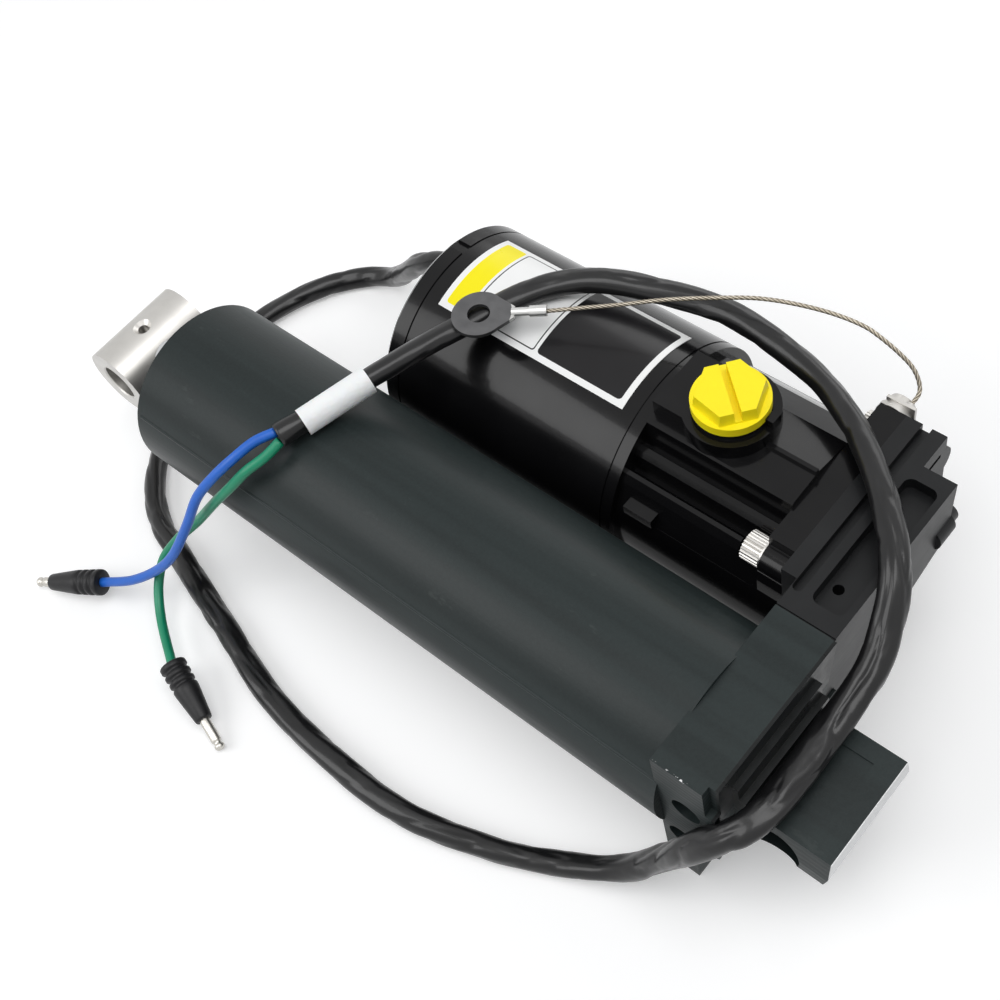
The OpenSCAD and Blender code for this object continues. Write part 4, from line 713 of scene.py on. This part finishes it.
def wind(name, node, start, length, radius, wire, turns):
    """Winds a spring along +Y from its start, in place of a CAD node."""
    mandrel = bpy.data.objects.new(name + "_form", bpy.data.meshes.new(name + "_form"))
    scene.collection.objects.link(mandrel)
    coil = mandrel.modifiers.new("coil", "NODES")
    coil.node_group = coil_tree
    sizes = {
        "Turns": turns, "Coil Radius": radius - wire, "Length": length - 2 * wire,
        "Wire Radius": wire, "Finish": spring_wire.material,
    }
    for item in coil_tree.interface.items_tree:
        if item.name in sizes:
            coil[item.identifier] = sizes[item.name]
    ready = bpy.context.evaluated_depsgraph_get()
    mesh = bpy.data.meshes.new_from_object(mandrel.evaluated_get(ready))
    bpy.data.objects.remove(mandrel)
    lie_along_y = Matrix.Rotation(-math.pi / 2, 4, "X")
    mesh.transform(Matrix.Translation(start + Vector((0, wire, 0))) @ lie_along_y)
    for face in mesh.polygons:
        face.use_smooth = len(face.vertices) == 4
    spring = bpy.data.objects.new(name, mesh)
    scene.collection.objects.link(spring)
    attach(spring, "housing")
    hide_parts(node)
    return spring


check_wire, check_turns = 0.4 * MM, 5
brush_wire, brush_turns, brush_spring_l = 0.3 * MM, 6, 6 * MM
for name, joint, fixed_end in (("up_spring", "up_check", 1), ("down_spring", "down_check", 0)):
    low, high = (Vector(corner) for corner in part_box(name))
    middle = (low + high) / 2
    long, radius = high.y - low.y, (high.x - low.x) / 2
    start = Vector((middle.x, low.y, middle.z))
    spring = wind(name + "_wound", name, start, long, radius, check_wire, check_turns)
    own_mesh(spring)
low, high = (Vector(corner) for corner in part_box("brush_springs"))
middle = (low + high) / 2
radius = (high.x - low.x) / 2
for name, y in (("brush_spring_lower", low.y), ("brush_spring_upper", high.y - brush_spring_l)):
    start = Vector((middle.x, y, middle.z))
    wind(name, "brush_springs", start, brush_spring_l, radius, brush_wire, brush_turns)


# The manifold: an aluminium block, milled all over and coated satin black, with its oil ways and
# valves inside. Two socket screws hold it to the side of the ram's block.
mani_coat = Finish("manifold_coat", Specular_IOR_Level=0.2, Coat_Roughness=0.2)
mani_dark, mani_pale = (0.0038, 0.0041, 0.0047), (0.0075, 0.0081, 0.009)
mani_cloud = mani_coat.grain(14 * MM, 5.0)
mani_mill = mani_coat.grain(0.8 * MM, 2.0, (1, 30, 1))
mani_speck = mani_coat.grain(0.7 * MM, 2.0)
mani_coat.set("Base Color", mani_coat.blend(mani_cloud, mani_dark, mani_pale))
mani_coat.set("Roughness", 0.3 + mani_cloud * 0.16 + mani_mill * 0.06)
mani_coat.set("Coat Weight", 0.02 + mani_cloud * 0.08)
mani_coat.bump(mani_mill * 0.6 + mani_speck * 0.4, 0.06 * MM, 0.6)
mani_coat.on("manifold")


# The release valve: a slotted steel screw, turned and blackened, in the outer corner of the
# manifold. Two turns let the ram be moved by hand.
release_black = Finish("release_black", Metallic=0.6)
release_dark, release_pale = (0.02, 0.02, 0.021), (0.045, 0.045, 0.046)
release_cloud = release_black.grain(3 * MM, 3.0)
release_black.set("Base Color", release_black.blend(release_cloud, release_dark, release_pale))
release_black.set("Roughness", 0.32 + release_cloud * 0.15)
release_black.bump(release_cloud, 0.05 * MM, 0.5)
release_black.on("release_valve")


# The reservoir and motor: an aluminium casting and a rolled steel can under the same thick gloss
# black enamel, with a slight orange peel and a few faint handling marks.
enamel = Finish("gloss_enamel", Specular_IOR_Level=0.17, Coat_Roughness=0.06)
enamel_dark, enamel_pale = (0.0026, 0.0025, 0.0029), (0.005, 0.0049, 0.0054)
enamel_peel = enamel.grain(2.2 * MM, 2.0)
enamel_cloud = enamel.grain(20 * MM, 4.0)
enamel.set("Base Color", enamel.blend(enamel_cloud, enamel_dark, enamel_pale))
enamel.set("Roughness", 0.13 + enamel_cloud * 0.1)
enamel.set("Coat Weight", 0.06 + enamel_cloud * 0.14)
enamel.bump(enamel_peel, 0.06 * MM, 0.35)
enamel.on("reservoir", "motor_flange", "motor_can", "motor_end_cap")


# The label on the can: plain coloured panels on a clear-coated film with a white border. The
# film's long way runs along the motor, with the yellow band at the rod end and the black panel
# nearest the reservoir. A point's place across the film is its angle round the motor's axis.
label_film = Finish(
    "label_film", Specular_IOR_Level=0.22, Coat_Weight=0.08, Coat_Roughness=0.12,
)
film_white, film_grey = (0.93, 0.93, 0.92), (0.88, 0.885, 0.88)
rim_ink, yellow_ink, black_ink = (0.02, 0.02, 0.02), (0.96, 0.84, 0.01), (0.008, 0.0075, 0.0085)
motor_axis_y, motor_axis_z = -82.6 * MM, -6.1 * MM
label_r = 44.0 * MM
label_middle, label_half = (label_r * math.radians(angle) for angle in (94, 27))
border, rim_line, ink_edge = 2.4 * MM, 0.5 * MM, 0.08 * MM
black_l, yellow_l = 41 * MM, 13 * MM
label_low, label_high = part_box("can_label")
label_turn = label_film.node("Math", {"operation": "ARCTAN2"}, {
    0: label_film.along(2) - motor_axis_z, 1: label_film.along(1) - motor_axis_y,
})
across = label_turn * label_r


def panel(low_x, high_x, half, corner):
    """1 inside a rounded panel of the label and 0 outside it."""
    mid, reach = (low_x + high_x) / 2, (high_x - low_x) / 2
    dx = (label_film.along(0) - mid).math("ABSOLUTE") - (reach - corner)
    dy = (across - label_middle).math("ABSOLUTE") - (half - corner)
    far_x, far_y = dx.math("MAXIMUM", 0.0), dy.math("MAXIMUM", 0.0)
    outside = (far_x * far_x + far_y * far_y).math("SQRT")
    outside = outside + dx.math("MAXIMUM", dy).math("MINIMUM", 0.0)
    return 1 - (outside - corner).step_above(0.0, ink_edge)


black_end = label_low.x + black_l
white_end = label_high.x - yellow_l
panel_half = label_half - border
yellow = panel(white_end + 1.2 * MM, label_high.x - border, panel_half, 1.2 * MM)
black = panel(label_low.x + border, black_end, panel_half, 1.6 * MM)
rim = panel(black_end + 1.4 * MM, white_end, panel_half, 1.2 * MM)
inner = panel(black_end + 1.9 * MM, white_end - rim_line, panel_half - rim_line, 0.9 * MM)
label_cloud = label_film.grain(10 * MM, 3.0)
label_shade = label_film.blend(label_cloud, film_white, film_grey)
for share, ink in ((rim - inner, rim_ink), (yellow, yellow_ink), (black, black_ink)):
    label_shade = label_film.blend(share, label_shade, ink)
label_film.set("Base Color", label_shade)
label_film.set("Roughness", 0.24 + label_cloud * 0.12)
label_film.bump(label_cloud, 0.1 * MM, 0.3)
label_film.on("can_label")


# The filler cap: moulded yellow plastic with a satin skin. It screws into the boss on top of the
# reservoir and closes on an O-ring.
cap_yellow = Finish(
    "cap_yellow", Specular_IOR_Level=0.45, Subsurface_Weight=0.06, Subsurface_Scale=0.002,
)
yellow_bright, yellow_deep = (1.0, 0.86, 0.006), (0.97, 0.78, 0.004)
yellow_cloud = cap_yellow.grain(8 * MM, 4.0)
yellow_speck = cap_yellow.grain(0.6 * MM, 2.0)
cap_yellow.set("Base Color", cap_yellow.blend(yellow_cloud, yellow_bright, yellow_deep))
cap_yellow.set("Roughness", 0.4 + yellow_cloud * 0.12)
cap_yellow.bump(yellow_speck * 0.5 + yellow_cloud * 0.5, 0.1 * MM, 0.6)
cap_yellow.on("fill_cap")


# The bushings, the pump's filter and the poppets: bronze with a fine open grain. The bushings are
# pressed in at both ends of the motor, and the filter is a sleeve round the pump.
bronze = Finish("sintered_bronze", Metallic=1.0)
bronze_pale, bronze_dark = (0.55, 0.36, 0.15), (0.38, 0.24, 0.09)
bronze_cloud = bronze.grain(2 * MM, 4.0)
bronze.set("Base Color", bronze.blend(bronze_cloud, bronze_pale, bronze_dark))
bronze.set("Roughness", 0.38 + bronze_cloud * 0.2)
bronze.bump(bronze_cloud, 0.08 * MM, 0.6)
bronze.on("bushings", "pump_filter", "up_poppet", "down_poppet")


# The windings and the commutator: copper. The varnished wire is wound on the core in a band,
# whose fine lines are its turns, and the commutator's bars are moulded on to the shaft.
copper = Finish("wound_copper", Metallic=1.0)
copper_pale, copper_dark = (0.62, 0.24, 0.10), (0.40, 0.14, 0.05)
copper_line = copper.grain(0.6 * MM, 2.0, (20, 1, 1))
copper.set("Base Color", copper.blend(copper_line, copper_pale, copper_dark))
copper.set("Roughness", 0.26 + copper_line * 0.2)
copper.bump(copper_line, 0.2 * MM, 0.8)
copper.on("armature_windings", "commutator")


# The magnets, the armature's core and the brushes: matt and dark grey. The magnets are pressed
# ferrite arcs fixed in the can, the core is stacked sheet, and the brushes are pressed carbon.
ferrite = Finish("dark_ferrite", Metallic=0.0)
ferrite_dark, ferrite_pale = (0.035, 0.036, 0.038), (0.075, 0.076, 0.08)
ferrite_cloud = ferrite.grain(3 * MM, 4.0)
ferrite.set("Base Color", ferrite.blend(ferrite_cloud, ferrite_dark, ferrite_pale))
ferrite.set("Roughness", 0.5 + ferrite_cloud * 0.2)
ferrite.bump(ferrite_cloud, 0.1 * MM, 0.6)
ferrite.on("magnets", "armature_core", "brushes")


# The brush plate: a ring of brown phenolic board with its faint weave. It is held across the end
# of the can by the motor's bolts, and carries the brush holders.
phenolic = Finish("phenolic_board", Metallic=0.0)
phenolic_pale, phenolic_dark = (0.20, 0.075, 0.03), (0.13, 0.045, 0.018)
phenolic_cloud = phenolic.grain(2 * MM, 4.0, (1, 4, 1))
phenolic.set("Base Color", phenolic.blend(phenolic_cloud, phenolic_pale, phenolic_dark))
phenolic.set("Roughness", 0.42 + phenolic_cloud * 0.15)
phenolic.bump(phenolic_cloud, 0.06 * MM, 0.5)
phenolic.on("brush_plate")


# The table: a plain pale floor that runs out of view and takes the unit's shadow. It shows light
# to the camera and in reflections, and gives the unit no light of its own.
floor_half = 3
floor_z = cad_box[0][2]


def seen(shading):
    """1 for a ray that shows in the picture, direct, mirrored or through glass, and 0 if not."""
    shows = [
        shading.node("LightPath", out=kind)
        for kind in ("Is Camera Ray", "Is Glossy Ray", "Is Transmission Ray")
    ]
    return shows[0].math("MAXIMUM", shows[1]).math("MAXIMUM", shows[2])


floor_mesh = bmesh.new()
for x, y in ((-1, -1), (1, -1), (1, 1), (-1, 1)):
    floor_mesh.verts.new((x * floor_half, y * floor_half, floor_z))
floor_mesh.faces.new(list(floor_mesh.verts))
floor = finished("floor", floor_mesh)
floor_paint = Finish("floor_paint", Roughness=0.7, Specular_IOR_Level=0.2, Emission_Strength=1.0)
floor_paint.set("Base Color", (0.8, 0.8, 0.8))
floor_glow = floor_paint.blend(seen(floor_paint), (0, 0, 0), (0.3, 0.3, 0.3))
floor_paint.set("Emission Color", floor_glow)
floor.data.materials.append(floor_paint.material)


# The light: an even pale surround that shows white in the picture, and three soft panels, a large
# one overhead, a long one on the motor side and one on the rod side.
world = bpy.data.worlds.new("studio")
scene.world = world
surround = Shading(world)
dim = surround.nodes["Background"]
surround.feed(dim.inputs["Color"], (0.85, 0.87, 0.9))
surround.feed(dim.inputs["Strength"], 0.3)
white = surround.node("Background", None, {"Color": (1, 1, 1), "Strength": 1.0})
either = surround.node("MixShader", None, {
    0: seen(surround), 1: Sock(surround, dim.outputs[0]), 2: white,
})
surround.feed(surround.nodes["World Output"].inputs["Surface"], either)


def soft_panel(name, place, target, size, power):
    """A rectangular studio lamp that looks at a point."""
    lamp = bpy.data.lights.new(name, "AREA")
    lamp.shape = "RECTANGLE"
    lamp.size, lamp.size_y = size
    lamp.energy = power
    holder = bpy.data.objects.new(name, lamp)
    holder.location = place
    aim = Vector(target) - Vector(place)
    holder.rotation_euler = aim.to_track_quat("-Z", "Y").to_euler()
    scene.collection.objects.link(holder)


soft_panel("overhead", (-0.1, 0.1, 1.2), (0.15, -0.04, 0), (1.0, 0.7), 8)
soft_panel("motor_side", (0.25, -1.0, 0.55), (0.15, -0.04, 0), (1.2, 0.5), 3.5)
soft_panel("rod_side", (0.7, 0.85, 0.75), (0.15, -0.02, 0), (0.8, 0.7), 6)

scene.view_settings.view_transform = "Standard"
